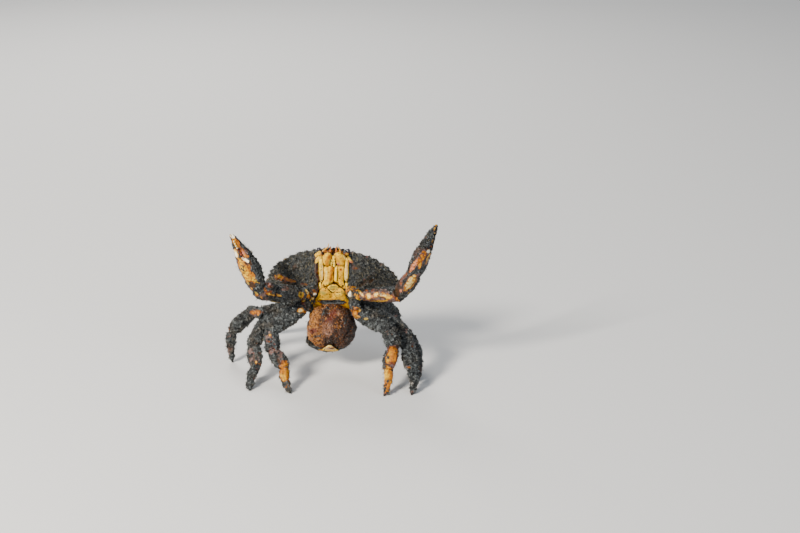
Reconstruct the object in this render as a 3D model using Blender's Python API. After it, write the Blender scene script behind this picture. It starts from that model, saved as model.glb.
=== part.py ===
"""A Dungeness crab carrying her eggs, reared up on eight legs with both claws raised, life size.

+Z is up, the crab's underside and mouth face -Y, and her own left is +X. The origin is on the floor, under
the middle of the whole crab. Every size follows from the width of the shell.
"""

import math
from collections import namedtuple

import bmesh
import bpy
from mathutils import Matrix, Vector, noise

SHELL_WIDTH = 0.150
MM = SHELL_WIDTH / 150  # one millimetre on a crab 150 mm across
GAP = 0.0003  # between pieces that touch
CUT_CLEARANCE = 0.00042  # how far a cutter is grown, so that its flat faces clear by at least GAP

# Where the middle of the shell is, which centres the whole crab on the origin, and how the body is turned
BODY_CENTRE = Vector((3.506 * MM, 15.95 * MM, 103 * MM))
PITCH = math.radians(65)  # nose up
YAW = math.radians(2)  # the mouth turned to the crab's left
ROLL = math.radians(5)  # the crab's left side nearer its belly

# Shell
FRONT_Y = 42.2 * MM
SHELL_POLE_Y = -5 * MM
DOME_HEIGHT = 19 * MM
MARGIN_DROP = 2.5 * MM  # how much lower the side corners of the shell are than its front
SIDE_CURVE = (72.5 * MM, 49 * MM, -7.5 * MM)  # half axes of the toothed side curve, and its centre in Y
SIDE_CURVE_POWER = 1.9  # 2 is an ellipse
FIRST_TOOTH, LAST_TOOTH = math.radians(18), math.radians(92)
SIDE_TEETH = 10
TOOTH_HEIGHT = 2.4 * MM
LAST_TOOTH_HEIGHT = 4.6 * MM
TOOTH_LEAN = 0.3  # of its height, forwards
VALLEY_PLACE, VALLEY_DEPTH = 0.42, 0.5 * MM  # between two teeth, as a share of the way to the next
FRONT_CURVE = 0.0035  # how far the front falls back, in mm for each square mm of x
# Small teeth between the eyes: x and height in mm
FRONT_TEETH = [
    (0, 2.2), (2.6, -0.5), (5.2, 2.0), (7.8, -0.5), (10.6, 1.8), (12.6, -1.6), (16.2, -4.2), (19.8, -1.4),
]
DOME_POWER, LOBE_FADE = 2.5, 6  # how late the back falls to the edge, and how late its lobes fade
BACK_SHARES = (0.22, 0.42, 0.6, 0.76, 0.88, 0.95)  # rings of the back, from its middle to its edge
TEETH_FROM = 0.9  # the share where the teeth begin
UNDER_SHARES = (0.1, 0.32, 0.56, 0.8, 1)  # rings under the side, from the edge to the lowest part of the body
CORE_SHARES = (0.7, 0.35)  # rings across the lowest part, inwards
BACK_CORNERS = [(69, -14), (61, -21.5), (50, -31), (39.5, -41), (30, -47.5)]  # mm
BACK_EDGE = [(20, -49.6), (10, -50.4), (0, -50)]  # mm
LOBES = [  # swellings of the shell: x, y, height, radius, in mm; those off the middle line are mirrored
    (12, 21, 1.6, 9), (0, 8, 1.4, 8), (0, -15, 2.2, 8), (34, -6, 2.6, 15), (50, 9, 1.2, 9),
    (32, 27, 1.4, 9), (0, -36, 1.0, 9), (20, 2, -1.2, 6), (11, -9, -1.6, 5),
]

# Underside
BELLY_Z = -24 * MM  # the flat that the breastplate lies on
MOUTH_Y = 1 * MM  # ahead of this the underside slopes up to the front
MOUTH_SLOPE = 0.45
UNDERSIDE_BULGE = 0.8  # under 1 the flanks of the underside swell
CORE = (26 * MM, 38.5 * MM, 3)  # half width, half length and squareness of the lowest part of the body

# Breastplate: its left half from the front to the back, in mm
BREASTPLATE_HALF = [
    (0, 13), (5.4, 8), (4.6, 4.5), (9, 5.5), (15.5, 2), (16.8, -4),
    (17.4, -10), (20.5, -15), (22, -24), (20, -34), (13, -40), (0, -41),
]
PLATE_LIFT, BREASTPLATE_THICK = 0.35 * MM, 5.5 * MM
BREASTPLATE_RISE, BREASTPLATE_RISE_Y = 0.16, -12 * MM  # how much faster its outer face rises, ahead of this

# Mouth: (name, outline, height of the outer face), in mm outwards from the middle line and up the mouth
ISCHIUM_EDGE = [(0.5, 9.5), (6.4, 4), (10.6, 3.2), (11.6, 10), (11.8, 24), (11.2, 30), (1.4, 30.6), (0.5, 24)]
MERUS_EDGE = [(1.4, 30), (11.2, 29.5), (12.6, 36), (12.0, 41.5), (8.5, 45), (3.6, 44.6), (1.6, 40), (3, 36)]
PALP_EDGE = [(0.5, 31.5), (3.4, 32), (4.4, 37), (3.4, 43.5), (1.2, 42), (0.6, 37)]
MOUTH_PLATES = [
    ("ischium", ISCHIUM_EDGE, 3.4 * MM), ("merus", MERUS_EDGE, 3.8 * MM), ("palp", PALP_EDGE, 4.6 * MM),
]
MOUTH_SIDE_PLATE = [
    (11.9, 3.5), (15.4, 4.5), (17.2, 12), (17.4, 24), (16.6, 34),
    (14.6, 39), (13.2, 36), (12.5, 31), (12.3, 20),
]
MOUTH_PLATE_LOW = -1.5 * MM
MOUTH_SIDE_HIGH = 2.4 * MM
MOUTH_HOLLOW_LOW, MOUTH_HOLLOW_HIGH = MOUTH_PLATE_LOW - GAP - 0.1 * MM, 12 * MM
MOUTH_HOLLOW_HALF = [(0, 47), (9, 46.5), (14, 42), (17.6, 36), (18.4, 24), (18.2, 10), (16, 2.5), (0, 1)]

# Eyes and feelers: material, corners round, then (x, y, z), half width and half thickness in mm along the
# middle line
HEAD_PARTS = {
    "eye": ("eye", 10, [
        ((11.5, 33.5, -5), 1.8, 1.6), ((13.4, 37, -3), 1.9, 1.8), ((15, 39.4, -1.6), 2.5, 2.4),
        ((16.2, 41.2, -0.6), 2.9, 2.8), ((17.1, 42.6, 0.2), 2.5, 2.4), ((17.8, 43.6, 0.8), 1.2, 1.2)]),
    "feeler": ("mouth", 7, [
        ((8.4, 35.5, -4), 1.8, 1.7), ((8.4, 39.6, -5), 1.7, 1.6), ((8.2, 43, -4.4), 1.1, 1.1),
        ((7.2, 46, -3.4), 0.75, 0.75), ((5.6, 49, -2.8), 0.55, 0.55), ((4.9, 54, -2.4), 0.3, 0.3)]),
    "little_feeler": ("mouth", 7, [
        ((3.2, 36, -2.4), 1.5, 1.4), ((3.2, 40, -3.2), 1.4, 1.3), ((3.0, 43.4, -2.6), 0.9, 0.8),
        ((2.7, 46.4, -0.8), 0.6, 0.6), ((2.8, 49.6, 0.4), 0.35, 0.35)]),
}

# Eggs and tail flap, as angles round the middle of the egg mass
EGG_CENTRE = Vector((0, -38 * MM, -43.5 * MM))
EGG_RADII = Vector((28 * MM, 25.5 * MM, 24 * MM))
FLAP_THICK = 1.8 * MM
FLAP_START = 104  # degrees, where the flap leaves the back of the shell
FLAP_SWING = 0.032 * MM  # how far the flap drifts to the crab's right with each degree of its run
TAIL_TIP_X = 0.6 * MM  # where the middle of the tail's tip lies
FLAP_STEPS = 6  # strips across the flap
# Angle round the eggs in degrees, then reach from their middle, half width and curl in mm
FLAP_SECTIONS = [
    (104, 36.5, 13, 1), (114, 35.2, 15, 2), (128, 32.6, 19, 4), (143, 30.2, 22.5, 6.5), (158, 28.6, 24.5, 8),
    (174, 27.8, 25.5, 8.5), (190, 27.4, 25.5, 8.5), (206, 27.3, 24, 7.5), (220, 27.3, 21.5, 6),
    (227, 27.4, 19, 4.5),
]
TAIL_TIP_SECTIONS = [
    (228.2, 27.4, 8.6, 0.9), (238, 27.5, 8.6, 0.8), (248, 27.7, 7.4, 0.6), (258, 28, 5.0, 0.3),
    (267, 28.4, 1.8, 0.1),
]
TAIL_TIP_THICK = 0.9 * FLAP_THICK
EGG_ROWS, EGG_COLUMNS = 15, 26
EGG_LUMPS = [(0.05, 3.1), (0.03, 7.3)]  # height and frequency

Leg = namedtuple("Leg", "side root lengths turns heavy")
# side is 1 for the crab's left. root is on the body, in mm: sideways, forward, up.
# lengths are hip, merus, carpus, propodus and dactyl, in mm. turns are azimuth from straight out to the
# side towards the front, and elevation, in degrees; the dactyl ends on the floor, so it has only an azimuth.
LENGTHS = {1: (19, 44, 22, 28, 34), 2: (19, 46, 22, 28, 36), 3: (18, 43, 20, 28, 35), 4: (16, 34, 17, 24, 30)}
ROOTS = {1: (24, -12, -21), 2: (25.5, -21, -19.5), 3: (25, -30, -17.5), 4: (22, -38, -15)}
LEGS = {
    "right_leg_1": Leg(-1, ROOTS[1], LENGTHS[1], ((53, -36), (28, -24), (105, -69), (124, -29), 108), 1),
    "right_leg_2": Leg(-1, ROOTS[2], LENGTHS[2], ((23, -28), (12, -24), (60, -45), (102, -36), 80), 1),
    "right_leg_3": Leg(-1, ROOTS[3], (18, 43, 20, 32, 37), ((-12, -13), (16, -6), (-57, -10), (10, -44), 90),
                       0.98),
    "right_leg_4": Leg(-1, ROOTS[4], LENGTHS[4], ((-45, -8), (-42, -10), (-62, -30), (-60, -55), -50), 0.8),
    "left_leg_1": Leg(1, ROOTS[1], LENGTHS[1], ((79, -42), (30, -14), (54, -66), (105, -40), 100), 1),
    "left_leg_2": Leg(1, ROOTS[2], LENGTHS[2], ((40, -27), (20, -20), (60, -50), (80, -31), 92), 1),
    "left_leg_3": Leg(1, ROOTS[3], LENGTHS[3], ((-15, -17), (2, -35), (46, -24), (75, -17), 92), 0.94),
    "left_leg_4": Leg(1, ROOTS[4], LENGTHS[4], ((-45, -8), (-42, -10), (-62, -30), (-60, -55), -50), 0.8),
}
# Half width and half thickness along each piece of a walking leg, in mm, at shares of its length
HIP_SECTIONS = [(0, 4.4, 4.0), (0.5, 4.7, 4.3)]
WAIST_SECTION = (4.0, 3.6)
MERUS_SECTIONS = [(0.13, 5.8, 4.5), (0.35, 7.6, 5.1), (0.66, 8.0, 5.2), (0.87, 7.0, 5.0), (1, 5.2, 4.4)]
CARPUS_SECTIONS = [(0, 4.6, 4.2), (0.27, 6.4, 5.2), (0.6, 7.3, 5.5), (0.84, 6.6, 5.0), (1, 4.9, 4.0)]
PROPODUS_SECTIONS = [(0, 4.4, 3.8), (0.22, 6.6, 4.3), (0.55, 7.4, 4.3), (0.83, 6.2, 3.8), (1, 4.4, 3.2)]
DACTYL_SECTIONS = [(0, 3.9, 2.9), (0.16, 4.7, 3.2), (0.42, 3.9, 2.7), (0.7, 2.7, 2.0), (0.9, 1.6, 1.3)]
FOOT_FLAT = (0.9, 0.8)
DACTYL_BOW = 2.2  # mm, how far the middle of a dactyl bows outwards

Arm = namedtuple("Arm", "side root lengths turns palm_wide")
# lengths are hip, merus, carpus and the whole propodus with its fixed finger, in mm. palm_wide points from
# the fixed finger to the movable one, across the broad side of the claw.
ARM_ROOT = (19.5, 1, -22)
ARMS = {
    "right_claw": Arm(-1, ARM_ROOT, (20, 33.5, 21, 70), ((36, -5), (24, 8), (41, 30), (-4, 65.5)),
                      (0.93, 0.05, 0.35)),
    "left_claw": Arm(1, ARM_ROOT, (18, 46.5, 30, 61.5), ((43, -5), (21, 9), (20, 56), (-31.5, 61)),
                     (-0.55, -0.8, 0.15)),
}
ARM_HIP_SECTIONS = [(0, 6.0, 5.4), (0.5, 6.3, 5.6)]
ARM_WAIST_SECTION = (5.2, 4.8)
ARM_MERUS_SECTIONS = [(0.12, 7.6, 6.4), (0.4, 10.0, 7.8), (0.76, 11.4, 8.6), (0.93, 10.0, 8.0), (1, 8.2, 7.0)]
ARM_CARPUS_SECTIONS = [(0, 7.6, 6.6), (0.28, 10.2, 8.4), (0.64, 11.6, 9.2), (0.88, 9.8, 8.0), (1, 8.0, 6.8)]
# The palm, then the fixed finger: share of the length, then inner edge and outer edge from the middle line
# and half thickness, in mm
PALM_EDGES = [
    (0, 7.0, -7.0, 6.4), (0.11, 10.0, -9.4, 7.6), (0.26, 11.6, -10.2, 8.1), (0.42, 11.9, -9.8, 7.8),
    (0.5, 11.2, -9.0, 7.0), (0.53, 10.4, -8.7, 6.4),
]
FIXED_FINGER_EDGES = [
    (0.543, 0.8, -8.5, 5.6), (0.6, 1.4, -7.9, 5.0), (0.65, 0.5, -7.3, 4.5), (0.7, 1.2, -6.6, 4.0),
    (0.745, 0.2, -5.9, 3.6), (0.79, 0.8, -5.2, 3.2), (0.835, -0.3, -4.6, 2.7), (0.88, 0.2, -3.9, 2.3),
    (0.925, -0.6, -3.3, 1.9), (0.965, -0.6, -2.8, 1.4), (1, -1.0, -2.1, 0.6),
]
MOVABLE_FINGER_EDGES = [
    (0.549, 10.6, 1.6, 5.4), (0.6, 10.6, 2.4, 5.0), (0.645, 9.8, 2.4, 4.6), (0.69, 8.8, 2.0, 4.2),
    (0.735, 7.8, 2.2, 3.8), (0.78, 6.7, 1.6, 3.3), (0.825, 5.7, 1.8, 2.8), (0.87, 4.7, 1.1, 2.4),
    (0.915, 3.7, 1.0, 1.9), (0.96, 2.6, 0.2, 1.4), (1, 0.9, -0.1, 0.6),
]
CREST_SHARES = (0.14, 0.24, 0.34, 0.44)  # of the palm's length, where the spines of its crest stand
CREST_REACH, CREST_LENGTH, CREST_RADIUS, CREST_LEAN = 11 * MM, 2.6 * MM, 1.3 * MM, 0.6
CARPUS_SPINE_SHARE, CARPUS_SPINE_REACH = 0.72, 10.4 * MM
CARPUS_SPINE_LENGTH, CARPUS_SPINE_RADIUS, CARPUS_SPINE_LEAN = 5 * MM, 1.9 * MM, 0.7
SPINE_SQUARE = (0.3, 0.5, 0.8)  # any direction that no spine points along
SPINE_SIDES = 5

SIDES = 10  # corners round a walking leg
ARM_SIDES = 14

COLOURS = {  # linear base colour and roughness
    "shell": ((0.060, 0.052, 0.044), 0.75),
    "belly": ((0.72, 0.45, 0.16), 0.5),
    "mouth": ((0.74, 0.47, 0.17), 0.45),
    "limb": ((0.10, 0.085, 0.070), 0.75),
    "claw": ((0.50, 0.25, 0.08), 0.5),
    "eggs": ((0.16, 0.035, 0.012), 0.6),
    "eye": ((0.012, 0.008, 0.014), 0.2),
}


def clear_scene():
    for obj in list(bpy.data.objects):
        bpy.data.objects.remove(obj)


def material(slot):
    """The material of one slot of COLOURS, made the first time it is asked for."""
    found = bpy.data.materials.get(slot)
    if found:
        return found
    colour, roughness = COLOURS[slot]
    made = bpy.data.materials.new(slot)
    made.use_nodes = True
    shader = made.node_tree.nodes["Principled BSDF"]
    shader.inputs["Base Color"].default_value = (*colour, 1)
    shader.inputs["Roughness"].default_value = roughness
    shader.inputs["Metallic"].default_value = 0
    return made


def body_matrix():
    """Takes body axes (left, forward, up through the shell) to the crab's stance."""
    facing = Matrix.Rotation(YAW, 4, "Z") @ Matrix.Rotation(math.pi, 4, "Z")
    tilt = Matrix.Rotation(PITCH, 4, "X") @ Matrix.Rotation(-ROLL, 4, "Y")
    mirror = Matrix.Diagonal((-1, 1, 1, 1))  # the crab's left is +X although it faces -Y
    return Matrix.Translation(BODY_CENTRE) @ facing @ tilt @ mirror


def loft(name, rings, slot, origin=None):
    """One closed body through rings of equal length. A ring of one point closes that end to a tip."""
    origin = Vector(origin) if origin is not None else Vector()
    mesh = bmesh.new()
    rows = [[mesh.verts.new(Vector(point) - origin) for point in ring] for ring in rings]
    for near, far in zip(rows, rows[1:]):
        count = max(len(near), len(far))
        for i in range(count):
            edge_near = [near[i % len(near)], near[(i + 1) % len(near)]]
            edge_far = [far[(i + 1) % len(far)], far[i % len(far)]]
            mesh.faces.new(list(dict.fromkeys(edge_near + edge_far)))
    caps = [mesh.faces.new(row) for row in (rows[0], rows[-1]) if len(row) > 2]
    bmesh.ops.triangulate(mesh, faces=caps)
    bmesh.ops.recalc_face_normals(mesh, faces=mesh.faces)
    data = bpy.data.meshes.new(name)
    mesh.to_mesh(data)
    mesh.free()
    if sum(p.center.dot(p.normal) * p.area for p in data.polygons) < 0:
        data.flip_normals()
    data.shade_smooth()
    data.set_sharp_from_angle(angle=math.radians(40))
    data.materials.append(material(slot))
    obj = bpy.data.objects.new(name, data)
    obj.location = origin
    bpy.context.scene.collection.objects.link(obj)
    return obj


def oval(centre, normal, wide, half_width, half_thick, sides, squareness=2.3, bulge=0.0):
    """A ring in the plane through centre square to normal, widest along wide. bulge moves it along wide."""
    z = Vector(normal).normalized()
    x = (Vector(wide) - z * z.dot(Vector(wide))).normalized()
    y = z.cross(x)
    power = 2 / squareness
    ring = []
    for i in range(sides):
        angle = 2 * math.pi * (i + 0.5) / sides
        across, through = math.cos(angle), math.sin(angle)
        across = math.copysign(abs(across) ** power, across)
        through = math.copysign(abs(through) ** power, through)
        ring.append(Vector(centre) + x * (across * half_width + bulge) + y * (through * half_thick))
    return ring


def joined(name, objects):
    """Joins closed objects into the first by one Boolean union, and keeps the largest body."""
    first, rest = objects[0], objects[1:]
    pieces = bpy.data.collections.new(name + "_pieces")
    for obj in rest:
        pieces.objects.link(obj)
    union = first.modifiers.new("union", "BOOLEAN")
    union.operation = "UNION"
    union.operand_type = "COLLECTION"
    union.collection = pieces
    union.solver = "EXACT"
    bake(first)
    for obj in rest:
        bpy.data.objects.remove(obj)
    bpy.data.collections.remove(pieces)
    first.name = name
    keep_largest(first)
    return first


def cut_clear(target, neighbours):
    """Cuts target back from its neighbours, each grown a little, and keeps the largest body."""
    for neighbour in neighbours:
        grown = bpy.data.objects.new(neighbour.name + "_grown", neighbour.data.copy())
        grown.matrix_world = neighbour.matrix_world
        bpy.context.scene.collection.objects.link(grown)
        grow = grown.modifiers.new("grow", "DISPLACE")
        grow.strength = CUT_CLEARANCE
        grow.mid_level = 0
        cut = target.modifiers.new("cut", "BOOLEAN")
        cut.operation = "DIFFERENCE"
        cut.object = grown
        cut.solver = "EXACT"
        bake(target)
        bpy.data.objects.remove(grown)
    keep_largest(target)
    return target


def bake(obj):
    """Makes the object's modifiers permanent."""
    bpy.context.view_layer.update()
    graph = bpy.context.evaluated_depsgraph_get()
    baked = bpy.data.meshes.new_from_object(obj.evaluated_get(graph))
    obj.modifiers.clear()
    obj.data = baked


def keep_largest(obj):
    """Drops every closed surface of the mesh but the one that encloses most."""
    mesh = bmesh.new()
    mesh.from_mesh(obj.data)
    bmesh.ops.remove_doubles(mesh, verts=mesh.verts, dist=1e-6)
    left = set(mesh.faces)
    bodies = []
    while left:
        body, edge = set(), [left.pop()]
        while edge:
            face = edge.pop()
            body.add(face)
            for side in face.edges:
                for other in side.link_faces:
                    if other in left:
                        left.remove(other)
                        edge.append(other)
        bodies.append(body)
    def volume(body):
        return sum(f.calc_center_median().dot(f.normal) * f.calc_area() for f in body)
    bodies.sort(key=volume, reverse=True)
    spare = [face for body in bodies[1:] for face in body]
    bmesh.ops.delete(mesh, geom=spare, context="FACES")
    mesh.to_mesh(obj.data)
    mesh.free()


def side_curve(turn):
    """The smooth side curve of the shell at an angle from its front, and the way out from it."""
    half_width, half_length, centre_y = SIDE_CURVE
    across, along = math.sin(turn), math.cos(turn)
    reach = (abs(across) ** SIDE_CURVE_POWER + abs(along) ** SIDE_CURVE_POWER) ** (-1 / SIDE_CURVE_POWER)
    point = Vector((half_width * reach * across, centre_y + half_length * reach * along))
    out = Vector((math.sin(turn) / half_width, math.cos(turn) / half_length)).normalized()
    return point, out


def half_margin():
    """The left half of the shell's edge, front to back, as (smooth point, point with its tooth)."""
    points = []
    for x, tooth in FRONT_TEETH:
        smooth = Vector((x * MM, FRONT_Y - FRONT_CURVE * x * x * MM))
        points.append((smooth, smooth + Vector((0, tooth * MM))))
    pitch = (LAST_TOOTH - FIRST_TOOTH) / (SIDE_TEETH - 1)
    for tooth in range(SIDE_TEETH):
        turn = FIRST_TOOTH + tooth * pitch
        smooth, out = side_curve(turn)
        last = tooth == SIDE_TEETH - 1
        height = LAST_TOOTH_HEIGHT if last else TOOTH_HEIGHT * (0.8 + 0.05 * tooth)
        forward = Vector((-out.y, out.x)) * (TOOTH_LEAN * TOOTH_HEIGHT)
        points.append((smooth, smooth + out * height + forward))
        if not last:
            valley, out = side_curve(turn + VALLEY_PLACE * pitch)
            points.append((valley, valley - out * VALLEY_DEPTH))
    for x, y in BACK_CORNERS + BACK_EDGE:
        corner = Vector((x * MM, y * MM))
        points.append((corner, corner))
    return points


def shell_margin():
    """The whole edge of the shell, from the front round the left, the back and the right."""
    half = half_margin()
    flip = Vector((-1, 1))
    mirrored = [(smooth * flip, tooth * flip) for smooth, tooth in half[1:-1]]
    return half + mirrored[::-1]


def margin_height(x):
    return -MARGIN_DROP * (abs(x) / (SHELL_WIDTH / 2)) ** 2


def dome(x, y, share):
    """Height of the shell's back at a share of the way from its middle to its edge."""
    height = margin_height(x) + DOME_HEIGHT * (1 - share**DOME_POWER)
    for lobe_x, lobe_y, rise, radius in LOBES:
        for side in ((1, -1) if lobe_x else (1,)):
            away = ((x - side * lobe_x * MM) ** 2 + (y - lobe_y * MM) ** 2) / (radius * MM) ** 2
            height += rise * MM * math.exp(-away) * (1 - share**LOBE_FADE)
    return height


def core_reach(direction):
    """How far the lowest part of the body reaches from the pole in a direction."""
    half_width, half_length, squareness = CORE
    across, along = abs(direction.x) / half_width, abs(direction.y) / half_length
    return (across**squareness + along**squareness) ** (-1 / squareness)


def belly_depth(y):
    return BELLY_Z + MOUTH_SLOPE * max(y - MOUTH_Y, 0)


def make_shell():
    pole = Vector((0, SHELL_POLE_Y))
    margin = shell_margin()
    rings = [[(pole.x, pole.y, dome(0, pole.y, 0))]]
    for share in BACK_SHARES:
        toothed = max(0, (share - TEETH_FROM) / (1 - TEETH_FROM))
        ring = []
        for smooth, tooth in margin:
            flat = pole + (smooth.lerp(tooth, toothed) - pole) * share
            ring.append((flat.x, flat.y, dome(flat.x, flat.y, share)))
        rings.append(ring)
    rings.append([(tooth.x, tooth.y, margin_height(tooth.x)) for _, tooth in margin])
    for share in UNDER_SHARES:
        ring = []
        for smooth, tooth in margin:
            edge = smooth.lerp(tooth, 0.5) if share == UNDER_SHARES[0] else smooth
            away = edge - pole
            reach = core_reach(away.normalized())
            flat = pole + away.normalized() * (away.length + share * (reach - away.length))
            core = pole + away.normalized() * reach
            height = margin_height(edge.x) * (1 - share) + belly_depth(core.y) * share**UNDERSIDE_BULGE
            ring.append((flat.x, flat.y, height))
        rings.append(ring)
    for share in CORE_SHARES:
        ring = []
        for smooth, _ in margin:
            away = (smooth - pole).normalized()
            flat = pole + away * core_reach(away) * share
            ring.append((flat.x, flat.y, belly_depth(flat.y)))
        rings.append(ring)
    rings.append([(pole.x, pole.y, BELLY_Z)])
    shell = loft("carapace", rings, "shell")
    shell.matrix_world = body_matrix()
    return shell


def plate(name, outline, slot, low, high, matrix, inset=0.8, crown=0.8 * MM):
    """A plate with a rounded outer face. outline is (x, y) in mm; low and high are along the matrix's Z."""
    flat = [Vector((x * MM, y * MM)) for x, y in outline]
    middle = sum(flat, Vector((0, 0))) / len(flat)
    def ring(share, z):
        return [(*(middle + (point - middle) * share), z) for point in flat]
    step = high - crown
    rings = [ring(1, low), ring(1, low + 0.55 * (step - low)), ring(0.94, step), ring(inset, high)]
    made = loft(name, [[matrix @ Vector(p) for p in r] for r in rings], slot)
    made.matrix_world = body_matrix()
    return made


def mirrored_outline(half):
    """A closed outline from its right half, listed from the front to the back."""
    return half + [(-x, y) for x, y in reversed(half) if x]


def make_breastplate():
    """The breastplate between the legs, its narrow tip between the feet of the mouth plates."""
    downwards = Matrix.Translation((0, 0, BELLY_Z)) @ Matrix.Diagonal((1, 1, -1, 1))
    outline = mirrored_outline(BREASTPLATE_HALF)
    made = plate("breastplate", outline, "belly", PLATE_LIFT, BREASTPLATE_THICK, downwards, 0.88, 1.4 * MM)
    for vertex in made.data.vertices:
        mouth_rise = MOUTH_SLOPE * max(vertex.co.y - MOUTH_Y, 0)
        front_rise = BREASTPLATE_RISE * max(vertex.co.y - BREASTPLATE_RISE_Y, 0)
        depth = (BELLY_Z - vertex.co.z) / BREASTPLATE_THICK
        vertex.co.z += mouth_rise + front_rise * depth
    return made


def mouth_matrix():
    """Axes of the sloping mouth: X left, Y up the mouth plates, Z out of the mouth."""
    slope = math.atan(MOUTH_SLOPE)
    up = Vector((0, math.cos(slope), math.sin(slope)))
    out = Vector((0, math.sin(slope), -math.cos(slope)))
    axes = Matrix((Vector((1, 0, 0)), up, out)).transposed().to_4x4()
    return Matrix.Translation(Vector((0, MOUTH_Y, BELLY_Z))) @ axes


def make_mouth_plates():
    """The two big plates that shut over the mouth and the slim one outside each."""
    made = []
    for side, name in ((1, "left"), (-1, "right")):
        place = mouth_matrix() @ Matrix.Diagonal((side, 1, 1, 1))
        pieces = [plate(part, outline, "mouth", MOUTH_PLATE_LOW, high, place)
                  for part, outline, high in MOUTH_PLATES]
        made.append(joined(f"mouth_plate_{name}", pieces))
        slim_name = f"mouth_side_plate_{name}"
        made.append(plate(slim_name, MOUTH_SIDE_PLATE, "mouth", MOUTH_PLATE_LOW, MOUTH_SIDE_HIGH, place))
    return made


def mouth_hollow():
    """The hollow in the shell that the mouth plates shut."""
    outline = mirrored_outline(MOUTH_HOLLOW_HALF)
    return plate("mouth_hollow", outline, "mouth", MOUTH_HOLLOW_LOW, MOUTH_HOLLOW_HIGH, mouth_matrix(), 1)


def tube(name, path, slot, sides):
    """A tapering tube. path is (point, half width, half thickness), with rings square to its run."""
    points = [point for point, _, _ in path]
    rings = []
    for i, (_, half_width, half_thick) in enumerate(path):
        run = points[min(i + 1, len(points) - 1)] - points[max(i - 1, 0)]
        wide = Vector((0, 0, 1)) if abs(run.normalized().z) < 0.9 else Vector((1, 0, 0))
        rings.append(oval(points[i], run, wide, half_width, half_thick, sides))
    return loft(name, rings, slot)


def make_head_parts():
    """Eyes on their stalks, the feelers outside and the little feelers between them."""
    made = []
    for side, name in ((1, "left"), (-1, "right")):
        for part, (slot, sides, path) in HEAD_PARTS.items():
            points = [(Vector((side * x, y, z)) * MM, wide * MM, thick * MM)
                      for (x, y, z), wide, thick in path]
            obj = tube(f"{part}_{name}", points, slot, sides)
            obj.matrix_world = body_matrix()
            made.append(obj)
    return made


def make_eggs():
    """The egg mass, a lumpy ball of eggs held between the breastplate and the tail flap."""
    rings = [[EGG_CENTRE + Vector((0, 0, EGG_RADII.z))]]
    for row in range(1, EGG_ROWS):
        up = math.pi * row / EGG_ROWS
        ring = []
        for column in range(EGG_COLUMNS):
            around = 2 * math.pi * column / EGG_COLUMNS
            ray = Vector((math.sin(up) * math.cos(around), math.sin(up) * math.sin(around), math.cos(up)))
            lump = 1 + sum(height * noise.noise(ray * frequency) for height, frequency in EGG_LUMPS)
            ring.append(EGG_CENTRE + ray * EGG_RADII * lump)
        rings.append(ring)
    rings.append([EGG_CENTRE - Vector((0, 0, EGG_RADII.z))])
    eggs = loft("egg_mass", rings, "eggs")
    eggs.matrix_world = body_matrix()
    return eggs


def flap_ring(middle_x, degrees, reach, half_width, curl, thick):
    """One cross-section of the tail flap: a strip curled in at its edges, square to its run."""
    turn = math.radians(degrees)
    out = Vector((0, math.cos(turn), math.sin(turn)))
    inner, outer = [], []
    for step in range(FLAP_STEPS + 1):
        across = -1 + 2 * step / FLAP_STEPS
        lean = curl * across * across
        base = EGG_CENTRE + out * (reach - lean) + Vector((middle_x + across * half_width, 0, 0))
        inner.append(base - out * thick / 2)
        outer.append(base + out * thick / 2)
    return inner + outer[::-1]


def make_flap():
    """The tail flap, six joints swept round the eggs from the back of the shell, and its tip."""
    rings = []
    for degrees, reach, half, curl in FLAP_SECTIONS:
        middle_x = FLAP_SWING * (FLAP_START - degrees)
        rings.append(flap_ring(middle_x, degrees, reach * MM, half * MM, curl * MM, FLAP_THICK))
    flap = loft("tail_flap", rings, "belly")
    tip = [flap_ring(TAIL_TIP_X, degrees, reach * MM, half * MM, curl * MM, TAIL_TIP_THICK)
           for degrees, reach, half, curl in TAIL_TIP_SECTIONS]
    telson = loft("tail_tip", tip, "belly")
    for obj in (flap, telson):
        obj.matrix_world = body_matrix()
    return flap, telson


def heading(side, azimuth, elevation):
    """A unit vector out to a side, turned towards the front by azimuth and up by elevation, in degrees."""
    turn, rise = math.radians(azimuth), math.radians(elevation)
    return Vector((side * math.cos(rise) * math.cos(turn), -math.cos(rise) * math.sin(turn), math.sin(rise)))


def sections_along(start, way, length, wide, sections, sides, bow=0.0):
    """Rings along a straight piece, from (share, half width, half thickness) in mm."""
    rings = []
    for share, half_width, half_thick in sections:
        middle = start + way * (share * length)
        bulge = bow * 4 * share * (1 - share)
        rings.append(oval(middle, way, wide, half_width * MM, half_thick * MM, sides, bulge=bulge))
    return rings


def meeting(joint, before, after, wide, section, sides, side_of_joint):
    """The ring where two pieces meet, in the plane midway between their headings, half a gap to one side."""
    across = (before + after).normalized()
    middle = joint + across * (side_of_joint * GAP / 2)
    return oval(middle, across, wide, section[0] * MM, section[1] * MM, sides)


def hip_and_merus(name, root, joint, hip_way, way, length, wide, next_way, hip, waist, merus, slot, sides):
    """The short hip, its waist and the long merus, in one piece, ending where the carpus begins."""
    hip_length = (joint - root).length
    rings = sections_along(root, hip_way, hip_length, wide, hip, sides)
    rings.append(oval(joint, hip_way + way, wide, waist[0] * MM, waist[1] * MM, sides))
    rings += sections_along(joint, way, length, wide, merus[:-1], sides)
    rings.append(meeting(joint + way * length, way, next_way, wide, merus[-1][1:], sides, -1))
    return loft(name, rings, slot, joint)


def middle_piece(name, start, ways, length, wide, sections, slot, sides):
    """A piece between two joints. ways are the headings of the piece before, this one and the next."""
    before, way, after = ways
    rings = [meeting(start, before, way, wide, sections[0][1:], sides, 1)]
    rings += sections_along(start, way, length, wide, sections[1:-1], sides)
    rings.append(meeting(start + way * length, way, after, wide, sections[-1][1:], sides, -1))
    return loft(name, rings, slot, start)


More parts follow.
